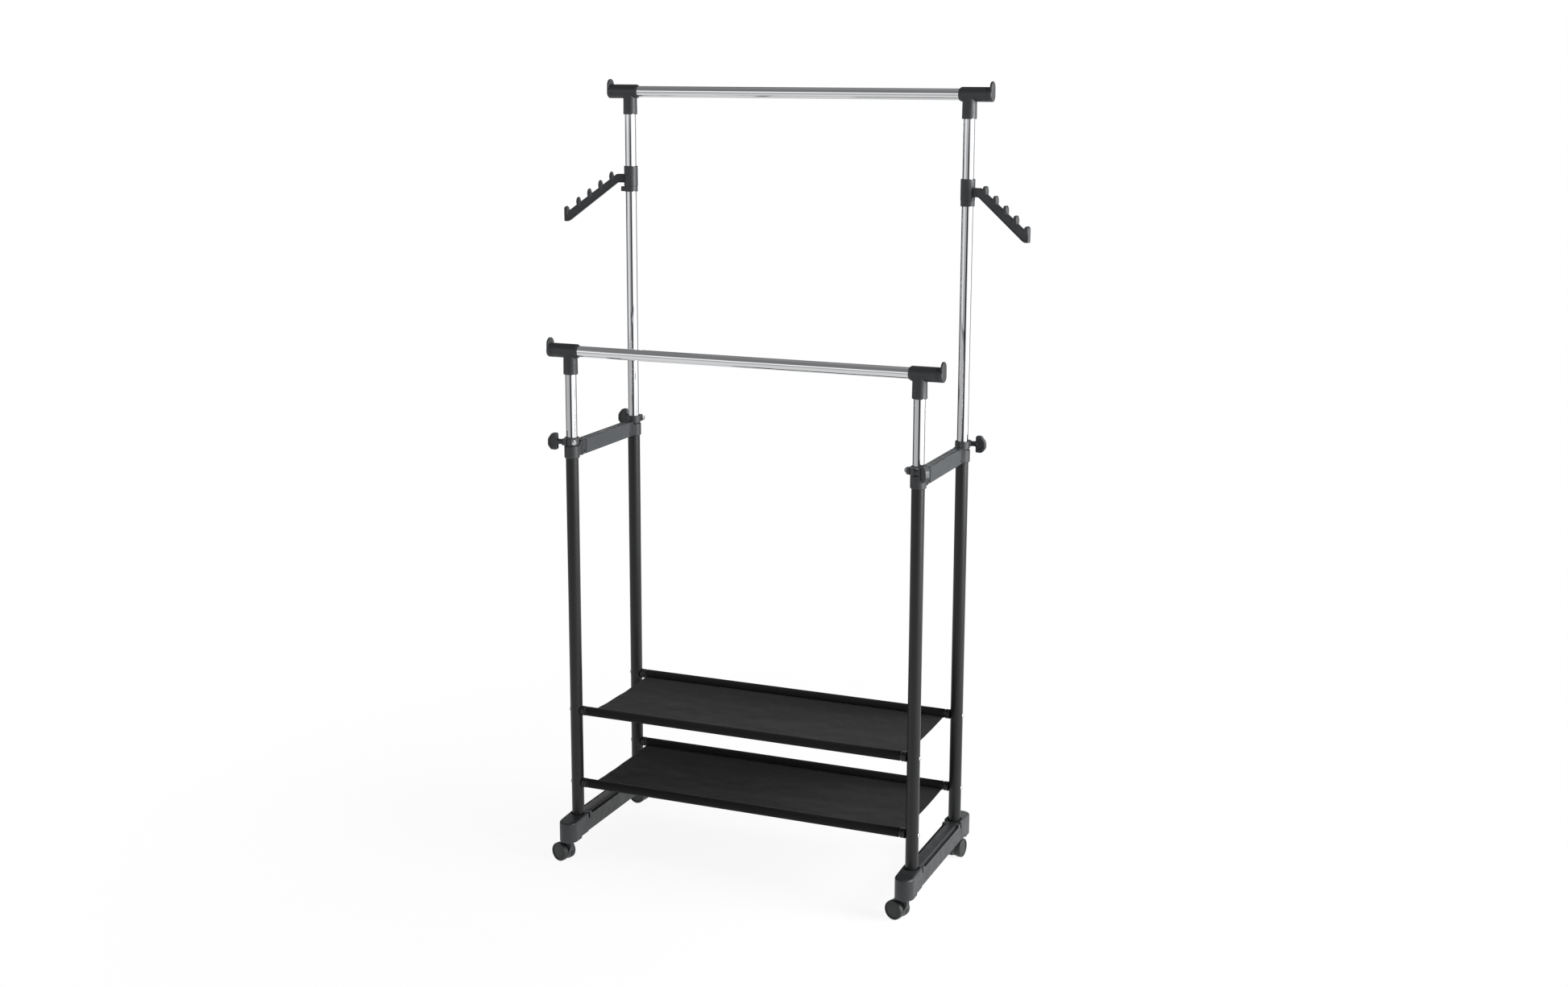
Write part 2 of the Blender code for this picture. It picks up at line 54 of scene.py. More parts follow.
# camera, room and floor; headings are degrees round Z, counted from the line toward the camera
studio = {
    "cameraAt": (1.4664, -3.4633, 1.5881),
    "yaw": 22.424,
    "pitch": 10.994,
    "roll": 0.21,
    "lens": 44.69,
    "shiftY": -0.03,
    "towardCamera": -67.0,
    "roomStrength": 1.65,
    "walls": [
        (-180, 0.10), (-150, 0.03), (-124, 0.05), (-116, 0.28), (-95, 0.42), (-60, 0.40), (-24, 0.38),
        (-16, 0.14), (-10, 0.015), (9, 0.015), (15, 0.35), (22, 0.90), (66, 1.0), (74, 0.42), (82, 0.42),
        (88, 1.0), (112, 0.95), (120, 0.30), (150, 0.16), (180, 0.12),
    ],
    "above": [(0.0, 0.85), (0.12, 1.0), (0.22, 0.80), (0.31, 0.22), (0.62, 0.16), (0.9, 0.18)],
    "floorRadius": 2.6,
    "floorClear": 1.5,
    "floorWhite": 0.90,
    "keyPower": 195.0,
    "fillPower": 7.0,
    "topPower": 1.5,
}


def aimedLight(name, place, target, width, height, power, tint=(1.0, 1.0, 1.0)):
    lamp = bpy.data.lights.new(name, "AREA")
    lamp.shape = "RECTANGLE"
    lamp.size = width
    lamp.size_y = height
    lamp.energy = power
    lamp.color = tint
    holder = bpy.data.objects.new(name, lamp)
    holder.location = place
    toward = Vector(target) - Vector(place)
    holder.rotation_euler = toward.to_track_quat("-Z", "Y").to_euler()
    bpy.context.scene.collection.objects.link(holder)
    return holder


def setCamera():
    lens = bpy.data.cameras.new("rackCamera")
    lens.lens = studio["lens"]
    lens.sensor_width = 36.0
    lens.shift_y = studio["shiftY"]
    lens.clip_end = 60.0
    holder = bpy.data.objects.new("rackCamera", lens)
    turn = Matrix.Rotation(math.radians(studio["yaw"]), 4, "Z")
    tilt = Matrix.Rotation(math.radians(90.0 - studio["pitch"]), 4, "X")
    roll = Matrix.Rotation(math.radians(studio["roll"]), 4, "Z")
    holder.matrix_world = Matrix.Translation(studio["cameraAt"]) @ turn @ tilt @ roll
    bpy.context.scene.collection.objects.link(holder)
    bpy.context.scene.camera = holder
    bpy.context.scene.view_settings.view_transform = "Standard"


def shadeRamp(tree, value, stops):
    ramp = tree.nodes.new("ShaderNodeValToRGB")
    points = ramp.color_ramp.elements
    points[0].position, points[1].position = stops[0][0], stops[-1][0]
    for at, shade in stops[1:-1]:
        points.new(at)
    for point, (at, shade) in zip(points, stops):
        point.color = (shade, shade, shade * 1.01, 1.0)
    tree.links.new(value, ramp.inputs[0])
    return ramp.outputs[0]


def mathNode(tree, operation, value, *others):
    node = tree.nodes.new("ShaderNodeMath")
    node.operation = operation
    tree.links.new(value, node.inputs[0])
    for i, other in enumerate(others, 1):
        if isinstance(other, float):
            node.inputs[i].default_value = other
        else:
            tree.links.new(other, node.inputs[i])
    return node.outputs[0]


def setSky():
    # a white room with grey and black panels that bright tubes pick up as stripes
    sky = bpy.data.worlds.new("paleStudio")
    bpy.context.scene.world = sky
    sky.use_nodes = True
    tree = sky.node_tree
    tree.nodes.clear()
    out = tree.nodes.new("ShaderNodeOutputWorld")
    room = tree.nodes.new("ShaderNodeBackground")
    seen = tree.nodes.new("ShaderNodeBackground")
    mix = tree.nodes.new("ShaderNodeMixShader")
    path = tree.nodes.new("ShaderNodeLightPath")
    place = tree.nodes.new("ShaderNodeTexCoord")
    split = tree.nodes.new("ShaderNodeSeparateXYZ")
    tree.links.new(place.outputs["Generated"], split.inputs[0])
    heading = mathNode(tree, "ARCTAN2", split.outputs["Y"], split.outputs["X"])
    away = mathNode(tree, "SUBTRACT", heading, math.radians(studio["towardCamera"]))
    around = mathNode(tree, "WRAP", away, math.pi, -math.pi)
    share = mathNode(tree, "MULTIPLY_ADD", around, 0.5 / math.pi, 0.5)
    walls = shadeRamp(tree, share, [(angle / 360.0 + 0.5, shade) for angle, shade in studio["walls"]])
    above = shadeRamp(tree, split.outputs["Z"], studio["above"])
    lift = tree.nodes.new("ShaderNodeMapRange")
    lift.inputs["From Min"].default_value = -0.03
    lift.inputs["From Max"].default_value = 0.02
    tree.links.new(split.outputs["Z"], lift.inputs["Value"])
    whole = tree.nodes.new("ShaderNodeMix")
    whole.data_type = "RGBA"
    tree.links.new(lift.outputs["Result"], whole.inputs["Factor"])
    tree.links.new(walls, whole.inputs[6])
    tree.links.new(above, whole.inputs[7])
    tree.links.new(whole.outputs[2], room.inputs["Color"])
    room.inputs["Strength"].default_value = studio["roomStrength"]
    seen.inputs["Color"].default_value = (1.0, 1.0, 1.0, 1.0)
    tree.links.new(path.outputs["Is Camera Ray"], mix.inputs[0])
    tree.links.new(room.outputs[0], mix.inputs[1])
    tree.links.new(seen.outputs[0], mix.inputs[2])
    tree.links.new(mix.outputs[0], out.inputs[0])


def setFloor():
    # a round pale sweep: takes a faint shadow near the rack and is plain white at its rim
    mesh = bpy.data.meshes.new("studioFloor")
    work = bmesh.new()
    bmesh.ops.create_circle(work, cap_ends=True, segments=96, radius=studio["floorRadius"])
    work.to_mesh(mesh)
    work.free()
    floor = bpy.data.objects.new("studioFloor", mesh)
    bpy.context.scene.collection.objects.link(floor)
    paint = bpy.data.materials.new("palePaper")
    paint.use_nodes = True
    tree = paint.node_tree
    shader = tree.nodes["Principled BSDF"]
    shader.inputs["Base Color"].default_value = (0.95, 0.95, 0.95, 1.0)
    shader.inputs["Roughness"].default_value = 0.9
    shader.inputs["Specular IOR Level"].default_value = 0.0
    glow = tree.nodes.new("ShaderNodeEmission")
    mix = tree.nodes.new("ShaderNodeMixShader")
    place = tree.nodes.new("ShaderNodeTexCoord")
    length = tree.nodes.new("ShaderNodeVectorMath")
    length.operation = "LENGTH"
    clear = tree.nodes.new("ShaderNodeMapRange")
    clear.inputs["From Min"].default_value = 0.3
    clear.inputs["From Max"].default_value = studio["floorClear"]
    clear.inputs["To Min"].default_value = studio["floorWhite"]
    clear.inputs["To Max"].default_value = 1.0
    tree.links.new(place.outputs["Object"], length.inputs[0])
    tree.links.new(length.outputs["Value"], clear.inputs["Value"])
    tree.links.new(clear.outputs["Result"], mix.inputs[0])
    tree.links.new(shader.outputs[0], mix.inputs[1])
    tree.links.new(glow.outputs[0], mix.inputs[2])
    tree.links.new(mix.outputs[0], tree.nodes["Material Output"].inputs["Surface"])
    mesh.materials.append(paint)


setCamera()
setSky()
setFloor()
aimedLight("keySoftbox", (3.0, 0.1, 1.5), (0.1, 0.0, 0.8), 1.6, 2.4, studio["keyPower"])
aimedLight("fillSoftbox", (-2.6, -2.6, 1.6), (0.0, 0.0, 0.8), 1.4, 2.2, studio["fillPower"])
aimedLight("topSoftbox", (0.2, 0.4, 3.4), (0.0, 0.0, 0.0), 2.6, 2.0, studio["topPower"])
print("camera, lights and floor ready")


# finishes

def newFinish(name, color, roughness, metallic=0.0):
    finish = bpy.data.materials.new(name)
    finish.use_nodes = True
    shader = finish.node_tree.nodes["Principled BSDF"]
    shader.inputs["Base Color"].default_value = (*color, 1.0)
    shader.inputs["Roughness"].default_value = roughness
    shader.inputs["Metallic"].default_value = metallic
    return finish, finish.node_tree, shader


def noiseField(tree, scale, detail=2.0, stretch=(1.0, 1.0, 1.0), rough=0.5):
    place = tree.nodes.new("ShaderNodeTexCoord")
    mapping = tree.nodes.new("ShaderNodeMapping")
    mapping.inputs["Scale"].default_value = stretch
    field = tree.nodes.new("ShaderNodeTexNoise")
    field.inputs["Scale"].default_value = scale
    field.inputs["Detail"].default_value = detail
    field.inputs["Roughness"].default_value = rough
    tree.links.new(place.outputs["Object"], mapping.inputs[0])
    tree.links.new(mapping.outputs[0], field.inputs["Vector"])
    return field.outputs["Fac"]


def spread(tree, value, low, high, fromLow=0.3, fromHigh=0.7):
    span = tree.nodes.new("ShaderNodeMapRange")
    span.inputs["From Min"].default_value = fromLow
    span.inputs["From Max"].default_value = fromHigh
    span.inputs["To Min"].default_value = low
    span.inputs["To Max"].default_value = high
    tree.links.new(value, span.inputs["Value"])
    return span.outputs["Result"]


def blendColors(tree, amount, dark, light):
    mix = tree.nodes.new("ShaderNodeMix")
    mix.data_type = "RGBA"
    tree.links.new(amount, mix.inputs["Factor"])
    for socket, color in ((mix.inputs[6], dark), (mix.inputs[7], light)):
        if isinstance(color, tuple):
            socket.default_value = (*color, 1.0)
        else:
            tree.links.new(color, socket)
    return mix.outputs[2]


def addBump(tree, shader, height, strength, distance, under=None):
    bump = tree.nodes.new("ShaderNodeBump")
    bump.inputs["Strength"].default_value = strength
    bump.inputs["Distance"].default_value = distance
    tree.links.new(height, bump.inputs["Height"])
    if under:
        tree.links.new(under, bump.inputs["Normal"])
    tree.links.new(bump.outputs[0], shader.inputs["Normal"])
    return bump.outputs[0]


def paintedEdgeHighlight(tree, color, highlightColor, reach):
    # painted highlight: outside corners and edges go a shade lighter in colour, standing in for light
    # catching them
    form = tree.nodes.new("ShaderNodeNewGeometry")
    amount = spread(tree, form.outputs["Pointiness"], 0.0, reach, 0.515, 0.60)
    return blendColors(tree, amount, color, highlightColor)


def mouldedPlastic(name, look):
    finish, tree, shader = newFinish(name, look["color"], look["roughness"])
    shader.inputs["Specular IOR Level"].default_value = look["gloss"]
    cloudy = noiseField(tree, 26.0, 3.0)
    body = blendColors(tree, spread(tree, cloudy, 0.0, 1.0), look["color"], look["pale"])
    # the outside edges get a painted highlight, a lighter colour where the mesh is pointy
    edgeLitBody = paintedEdgeHighlight(tree, body, look["edge"], look["edgeHighlightReach"])
    tree.links.new(edgeLitBody, shader.inputs["Base Color"])
    smudges = noiseField(tree, 55.0, 4.0)
    rough = look["roughness"]
    tree.links.new(spread(tree, smudges, rough - 0.07, rough + 0.07), shader.inputs["Roughness"])
    flow = addBump(tree, shader, noiseField(tree, 120.0, 2.0), 0.10, 0.0006)
    addBump(tree, shader, noiseField(tree, look["grain"], 2.0), look["grainDepth"], 0.0001, flow)
    return finish


def powderCoat(name, look):
    finish, tree, shader = newFinish(name, look["color"], look["roughness"])
    shader.inputs["Specular IOR Level"].default_value = look["gloss"]
    cloudy = noiseField(tree, 14.0, 3.0, (1.0, 1.0, 0.25))
    tree.links.new(
        blendColors(tree, spread(tree, cloudy, 0.0, 1.0), look["color"], look["pale"]),
        shader.inputs["Base Color"],
    )
    rub = noiseField(tree, 40.0, 4.0, (1.0, 1.0, 0.12))
    rough = look["roughness"]
    tree.links.new(spread(tree, rub, rough - 0.06, rough + 0.07), shader.inputs["Roughness"])
    addBump(tree, shader, noiseField(tree, 650.0, 2.0), 0.12, 0.0001)
    return finish


def brightPlating(name, look):
    finish, tree, shader = newFinish(name, look["color"], look["roughness"], 1.0)
    haze = noiseField(tree, 18.0, 3.0, look["along"])
    tree.links.new(
        blendColors(tree, spread(tree, haze, 0.0, 1.0), look["dim"], look["color"]),
        shader.inputs["Base Color"],
    )
    wipes = noiseField(tree, 220.0, 4.0, look["along"])
    rough = look["roughness"]
    tree.links.new(spread(tree, wipes, rough - 0.012, rough + 0.03), shader.inputs["Roughness"])
    addBump(tree, shader, noiseField(tree, 24.0, 1.0, look["along"]), 0.006, 0.0002)
    return finish


def platedSteel(name, look):
    finish, tree, shader = newFinish(name, look["color"], look["roughness"], 1.0)
    haze = noiseField(tree, 300.0, 3.0)
    tree.links.new(
        blendColors(tree, spread(tree, haze, 0.0, 1.0), look["dim"], look["color"]),
        shader.inputs["Base Color"],
    )
    rough = look["roughness"]
    tree.links.new(spread(tree, haze, rough - 0.08, rough + 0.1), shader.inputs["Roughness"])
    addBump(tree, shader, noiseField(tree, 900.0, 2.0), 0.10, 0.0001)
    return finish


def nonWoven(name, look):
    # pressed fibre cloth: a grid of tiny welded dots over loose fibres
    finish, tree, shader = newFinish(name, look["color"], look["roughness"])
    shader.inputs["Specular IOR Level"].default_value = 0.16
    shader.inputs["Sheen Weight"].default_value = look["sheen"]
    shader.inputs["Sheen Roughness"].default_value = 0.45
    place = tree.nodes.new("ShaderNodeTexCoord")
    turned = tree.nodes.new("ShaderNodeMapping")
    turned.inputs["Rotation"].default_value = (0.0, 0.0, math.radians(45.0))
    dots = tree.nodes.new("ShaderNodeTexVoronoi")
    dots.inputs["Scale"].default_value = look["dotsPerMetre"]
    dots.inputs["Randomness"].default_value = 0.12
    tree.links.new(place.outputs["Object"], turned.inputs[0])
    tree.links.new(turned.outputs[0], dots.inputs["Vector"])
    pressed = spread(tree, dots.outputs["Distance"], 0.0, 1.0, 0.12, 0.45)
    fibres = noiseField(tree, 900.0, 4.0, (1.0, 0.35, 1.0))
    patches = noiseField(tree, 11.0, 4.0, rough=0.6)
    base = blendColors(tree, spread(tree, patches, 0.0, 1.0), look["color"], look["pale"])
    thread = blendColors(tree, spread(tree, fibres, 0.0, 1.0), look["deep"], base)
    tone = blendColors(tree, pressed, look["deep"], thread)
    tree.links.new(tone, shader.inputs["Base Color"])
    rough = look["roughness"]
    tree.links.new(spread(tree, patches, rough - 0.08, rough + 0.08), shader.inputs["Roughness"])
    slack = addBump(tree, shader, noiseField(tree, 24.0, 4.0, rough=0.55), 0.5, 0.0022)
    weld = addBump(tree, shader, pressed, 0.35, 0.0003, slack)
    addBump(tree, shader, fibres, 0.3, 0.0002, weld)
    return finish


finishes = {
    "plastic": mouldedPlastic("charcoalPlastic", {
        "color": (0.0120, 0.0135, 0.0152), "pale": (0.0160, 0.0178, 0.0198),
        # edge is the colour of the painted edge highlight
        "edge": (0.038, 0.042, 0.046),
        "edgeHighlightReach": 0.7, "roughness": 0.47, "gloss": 0.42, "grain": 1500.0, "grainDepth": 0.22,
    }),
    "wheel": mouldedPlastic("casterNylon", {
        "color": (0.0125, 0.0138, 0.0140), "pale": (0.0180, 0.0195, 0.0195),
        # edge is the colour of the painted edge highlight
        "edge": (0.030, 0.032, 0.032),
        "edgeHighlightReach": 0.5, "roughness": 0.52, "gloss": 0.35, "grain": 1100.0, "grainDepth": 0.18,
    }),
    "paint": powderCoat("satinBlackCoat", {
        "color": (0.0075, 0.0077, 0.0081), "pale": (0.0108, 0.0110, 0.0114), "roughness": 0.34, "gloss": 0.28,
    }),
    "chromeUp": brightPlating("brightPostPlating", {
        "color": (0.645, 0.65, 0.662), "dim": (0.59, 0.595, 0.605), "roughness": 0.065,
        "along": (1.0, 1.0, 0.06),
    }),
    "chromeAcross": brightPlating("brightRailPlating", {
        "color": (0.645, 0.65, 0.662), "dim": (0.59, 0.595, 0.605), "roughness": 0.065,
        "along": (0.06, 1.0, 1.0),
    }),
    "zinc": platedSteel("zincSteel", {
        "color": (0.74, 0.75, 0.76), "dim": (0.55, 0.55, 0.56), "roughness": 0.26,
    }),
    "cloth": nonWoven("blackFibreCloth", {
        "color": (0.0062, 0.0062, 0.0062), "pale": (0.0092, 0.0092, 0.0090),
        "deep": (0.0036, 0.0036, 0.0036),
        "roughness": 0.82, "sheen": 0.04, "dotsPerMetre": 620.0,
    }),
    "thread": powderCoat("hemThread", {
        "color": (0.035, 0.035, 0.035), "pale": (0.05, 0.05, 0.05), "roughness": 0.7, "gloss": 0.3,
    }),
}
print("finishes mixed:", len(finishes))


# small shape makers, all in metres

def takeMesh(obj):
    graph = bpy.context.evaluated_depsgraph_get()
    graph.update()
    mesh = bpy.data.meshes.new_from_object(obj.evaluated_get(graph))
    bpy.data.objects.remove(obj)
    return mesh


def onBench(mesh):
    obj = bpy.data.objects.new("bench", mesh)
    bpy.context.scene.collection.objects.link(obj)
    return obj


def carve(base, *tools, how="DIFFERENCE"):
    for tool in tools:
        obj, cutter = onBench(base), onBench(tool)
        cut = obj.modifiers.new("carve", "BOOLEAN")
        cut.operation = how
        cut.solver = "EXACT"
        cut.object = cutter
        base = takeMesh(obj)
        bpy.data.objects.remove(cutter)
    return base


def fuse(base, *others):
    return carve(base, *others, how="UNION")


def softened(mesh, width, segments=3, limit=40.0):
    obj = onBench(mesh)
    edge = obj.modifiers.new("soften", "BEVEL")
    edge.width = width
    edge.segments = segments
    edge.limit_method = "ANGLE"
    edge.angle_limit = math.radians(limit)
    return takeMesh(obj)


def placed(mesh, place=(0.0, 0.0, 0.0), turn=0.0):
    copy = mesh.copy()
    copy.transform(Matrix.Translation(place) @ Matrix.Rotation(math.radians(turn), 4, "Z"))
    return copy


def laidAlongX(mesh):
    mesh.transform(Matrix.Rotation(math.radians(90.0), 4, "Y"))
    return mesh


def laidAlongY(mesh):
    mesh.transform(Matrix.Rotation(math.radians(-90.0), 4, "X"))
    return mesh


def merged(*meshes):
    work = bmesh.new()
    for mesh in meshes:
        work.from_mesh(mesh)
    whole = bpy.data.meshes.new("merged")
    work.to_mesh(whole)
    work.free()
    return whole


def filleted(corners, closed=True, steps=4):
    # corners are (x, y) or (x, y, radius): the ones with a radius are rounded off
    result = []
    count = len(corners)
    for i, corner in enumerate(corners):
        here = Vector(corner[:2])
        radius = corner[2] if len(corner) > 2 else 0.0
        if radius <= 0.0 or (not closed and i in (0, count - 1)):
            result.append(here)
            continue
        before = (Vector(corners[i - 1][:2]) - here)
        after = (Vector(corners[(i + 1) % count][:2]) - here)
        angle = before.angle(after)
        if angle > math.radians(176.0):
            result.append(here)
            continue
        reach = min(radius / math.tan(angle / 2), before.length * 0.49, after.length * 0.49)
        radius = reach * math.tan(angle / 2)
        first = here + before.normalized() * reach
        last = here + after.normalized() * reach
        middle = here + (before.normalized() + after.normalized()).normalized() * radius / math.sin(angle / 2)
        a = first - middle
        total = a.angle_signed(last - middle)
        for step in range(steps + 1):
            t = -total * step / steps
            result.append(middle + Vector((
                a.x * math.cos(t) - a.y * math.sin(t), a.x * math.sin(t) + a.y * math.cos(t),
            )))
    return [(p.x, p.y) for p in result]


def arc(cx, cy, radius, start, end, steps):
    turns = [math.radians(start + (end - start) * i / steps) for i in range(steps + 1)]
    return [(cx + radius * math.cos(a), cy + radius * math.sin(a)) for a in turns]


def spun(profile, count=56, ring=False):
    # (radius, z) points swept round Z; a closed ring profile gives a hollow piece
    work = bmesh.new()
    rows = []
    for radius, z in profile:
        if radius < 1e-7:
            rows.append([work.verts.new((0.0, 0.0, z))])
            continue
        rows.append([
            work.verts.new((radius * math.cos(t), radius * math.sin(t), z))
            for t in (2 * math.pi * (i + 0.5) / count for i in range(count))
        ])
    pairs = list(zip(rows, rows[1:]))
    if ring:
        pairs.append((rows[-1], rows[0]))
    for low, high in pairs:
        for i in range(count):
            j = (i + 1) % count
            if len(low) == 1 and len(high) == 1:
                break
            if len(low) == 1:
                work.faces.new((low[0], high[j], high[i]))
            elif len(high) == 1:
                work.faces.new((low[i], low[j], high[0]))
            else:
                work.faces.new((low[i], low[j], high[j], high[i]))
    bmesh.ops.recalc_face_normals(work, faces=work.faces)
    mesh = bpy.data.meshes.new("spun")
    work.to_mesh(mesh)
    work.free()
    return mesh


def slab(outline, low, high, across="Z"):
    # a flat outline given thickness; across says which way the thickness runs
    work = bmesh.new()
    bottom = [work.verts.new((x, y, low)) for x, y in outline]
    top = [work.verts.new((x, y, high)) for x, y in outline]
    work.faces.new(list(reversed(bottom)))
    work.faces.new(top)
    for i in range(len(outline)):
        j = (i + 1) % len(outline)
        work.faces.new((bottom[i], bottom[j], top[j], top[i]))
    bmesh.ops.recalc_face_normals(work, faces=work.faces)
    mesh = bpy.data.meshes.new("slab")
    work.to_mesh(mesh)
    work.free()
    if across == "X":
        mesh.transform(Matrix(((0, 0, 1, 0), (1, 0, 0, 0), (0, 1, 0, 0), (0, 0, 0, 1))))
    if across == "Y":
        mesh.transform(Matrix(((1, 0, 0, 0), (0, 0, -1, 0), (0, 1, 0, 0), (0, 0, 0, 1))))
    return mesh


def brick(low, high, soft=0.0):
    outline = [(low[0], low[1]), (high[0], low[1]), (high[0], high[1]), (low[0], high[1])]
    mesh = slab(outline, low[2], high[2])
    return softened(mesh, soft) if soft else mesh


def hollowTube(outer, wall, low, high, lip=0.0005, count=56):
    # the loops beside each lip keep the long reflections straight
    inner, loop = outer - wall, 3.0 * lip
    profile = filleted([
        (outer, low, lip), (outer, low + loop), (outer, high - loop), (outer, high, lip),
        (inner, high, lip * 0.6), (inner, high - loop), (inner, low + loop), (inner, low, lip * 0.6),
    ], steps=3)
    return spun(profile, count, ring=True)


def finishPiece(name, mesh, finish, body, hides=(), sharp=38.0, weighted=True):
    mesh.shade_smooth()
    mesh.set_sharp_from_angle(angle=math.radians(sharp))
    mesh.materials.clear()
    mesh.materials.append(finishes[finish])
    mesh.name = name
    obj = bpy.data.objects.new(name, mesh)
    bpy.context.scene.collection.objects.link(obj)
    if weighted:
        even = obj.modifiers.new("evenShading", "WEIGHTED_NORMAL")
        even.keep_sharp = True
    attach(obj, body)
    if hides:
        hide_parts(*hides)
    return obj


def centreOf(node):
    low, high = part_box(node)
    return [(a + b) / 2 for a, b in zip(low, high)]


def corners():
    for end in ends:
        for side in sides:
            yield f"{end}_{side}", end, side


# feet

foot = {
    "halfWidth": 0.019, "end": 0.194, "low": 0.0445, "blockTop": 0.0902, "blockFrom": 0.1236, "stepAt": 0.156,
    "tipDrop": 0.0046, "dropFrom": 0.148, "topRound": 0.0042, "cornerRound": 0.0048,
    "barHalf": 0.0181, "barLow": 0.0490, "barTop": 0.0862, "barEnd": 0.1262, "wallDrop": 0.0042,
    "ridgeHalf": 0.0104, "grooveEnd": 0.101, "webLow": 0.070, "webEnd": 0.1225,
    "notchFrom": 0.1180, "notchTo": 0.1242, "notchFloor": 0.0735, "notchIn": 0.0138,
    "socketAt": postY, "socketFloor": 0.0597, "socketRadius": 0.0128,
    "ringRadius": 0.0152, "ringFloor": 0.0862, "stemAt": 0.175, "stemRadius": 0.0041,
    "ribs": 6, "ribFrom": -0.108, "ribStep": 0.0365, "ribLong": 0.0335,
}


def loft(rings):
    # closed outlines stacked from bottom to top, each with the same number of points
    work = bmesh.new()
    rows = [[work.verts.new(point) for point in ring] for ring in rings]
    work.faces.new(list(reversed(rows[0])))
    work.faces.new(rows[-1])
    for low, high in zip(rows, rows[1:]):
        for i in range(len(low)):
            j = (i + 1) % len(low)
            work.faces.new((low[i], low[j], high[j], high[i]))
    mesh = bpy.data.meshes.new("loft")
    work.to_mesh(mesh)
    work.free()
    return mesh


def endBlock():
    # one rounded end, its top edge well rounded and falling a little toward the tip
    f = foot
    tip, near = f["end"] - f["halfWidth"], f["blockFrom"]
    levels = [(0.0012, f["low"]), (0.0003, f["low"] + 0.0003), (0.0, f["low"] + 0.0012)]
    for i in range(7):
        t = math.radians(90.0 * i / 6)
        inset = f["topRound"] * (1.0 - math.cos(t))
        levels.append((inset, f["blockTop"] - f["topRound"] * (1.0 - math.sin(t))))
    rings = []
    for inset, z in levels:
        w, inner, cornerY = f["halfWidth"] - inset, f["cornerRound"] - inset, near + f["cornerRound"]
        around = arc(0, tip, w, 0, 180, 40)
        around += arc(-w + inner, cornerY, inner, 180, 270, 8)
        around += arc(w - inner, cornerY, inner, 270, 360, 8)
        ring = []
        for x, y in around:
            reach = max(0.0, (y - f["dropFrom"]) / (f["end"] - f["dropFrom"]))
            height = max(0.0, (z - f["low"]) / (f["blockTop"] - f["low"]))
            ring.append((x, y, z - f["tipDrop"] * reach * height))
        rings.append(ring)
    return carve(loft(rings), brick((-0.03, 0.05, 0.03), (0.03, f["stepAt"], f["barLow"])))


def barSection():
    # broad rounded ridge between two lower side walls
    f = foot
    half, top, low, r = f["barHalf"], f["barTop"], f["barLow"], f["ridgeHalf"]
    wall = top - f["wallDrop"]
    right = [
        (half, low, 0.0015), (half, wall, 0.0008), (half - 0.0016, wall, 0.0006),
        (half - 0.0020, wall - 0.0022, 0.0008), (r + 0.0014, wall - 0.0032, 0.0012),
        (r, top - 0.0006, 0.0030),
    ]
    left = [(-x, z, radius) for x, z, radius in reversed(right)]
    return filleted(right + [(0.0, top)] + left, steps=5)


def footNotch(way):
    # the gap in a side wall between the bar and an end block
    f = foot
    floor, start, stop = f["notchFloor"], f["notchFrom"], f["notchTo"]
    return filleted([
        (way * start, 0.10), (way * start, floor + 0.006, 0.002), (way * (start + 0.0026), floor, 0.0012),
        (way * stop, floor + 0.004, 0.0012), (way * stop, 0.10),
    ], steps=3)


def footMesh():
    f = foot
    block, top = endBlock(), f["barTop"]
    whole = fuse(slab(barSection(), -f["barEnd"], f["barEnd"], "Y"), block, placed(block, turn=180.0))
    # solid web between groove and socket, with a rounded hump toward the groove
    hump = filleted([
        (f["grooveEnd"], f["webLow"]), (f["webEnd"], f["webLow"]), (f["webEnd"], top + 0.0003, 0.0010),
        (0.1105, top + 0.0003, 0.0045), (0.1060, top - 0.0062, 0.0016), (f["grooveEnd"], top - 0.0074, 0.001),
    ], steps=6)
    bore, ring, floor = f["socketRadius"], f["ringRadius"], f["ringFloor"]
    socket = spun(filleted([
        (0.0, f["socketFloor"]), (bore, f["socketFloor"]), (bore, floor, 0.0002),
        (ring - 0.0006, floor, 0.0006), (ring, 0.0885), (ring + 0.0012, 0.0925), (0.0, 0.0925),
    ], closed=False, steps=3))
    stem = spun([(0.0, 0.03), (f["stemRadius"], 0.03), (f["stemRadius"], 0.066), (0.0, 0.066)], 32)
    for way in (-1, 1):
        for side in (-1, 1):
            inner, outer = sorted((side * (f["ridgeHalf"] - 0.003), side * (f["barHalf"] - 0.0003)))
            whole = fuse(whole, slab([(way * y, z) for y, z in hump], inner, outer, "X"))
        for side in (-1, 1):
            inner, outer = sorted((side * f["notchIn"], side * 0.025))
            whole = carve(whole, slab(footNotch(way), inner, outer, "X"))
        bores = placed(socket, (0.0, way * f["socketAt"], 0.0)), placed(stem, (0.0, way * f["stemAt"], 0.0))
        whole = carve(whole, *bores)
    # moulding ribs seen from underneath, between the end blocks
    for side in (-1, 1):
        inner, outer = sorted((side * 0.0030, side * 0.0150))
        for i in range(f["ribs"]):
            start = f["ribFrom"] + i * f["ribStep"]
            whole = carve(whole, brick((inner, start, 0.045), (outer, start + f["ribLong"], 0.066)))
    return whole


footShape = footMesh()
for side in sides:
    x = centreOf(f"foot_{side}")[0]
    moulding = placed(footShape, (x, 0.0, 0.0))
    finishPiece(f"footMoulding_{side}", moulding, "plastic", "base", [f"foot_{side}"], 30.0)
print("feet moulded")


# casters

caster = {
    "wheelRadius": 0.0192, "halfTrack": 0.0155, "innerFace": 0.0052, "trail": 0.0165,
    "discRadius": 0.0146, "webHalf": 0.0047, "bossRadius": 0.0086,
}


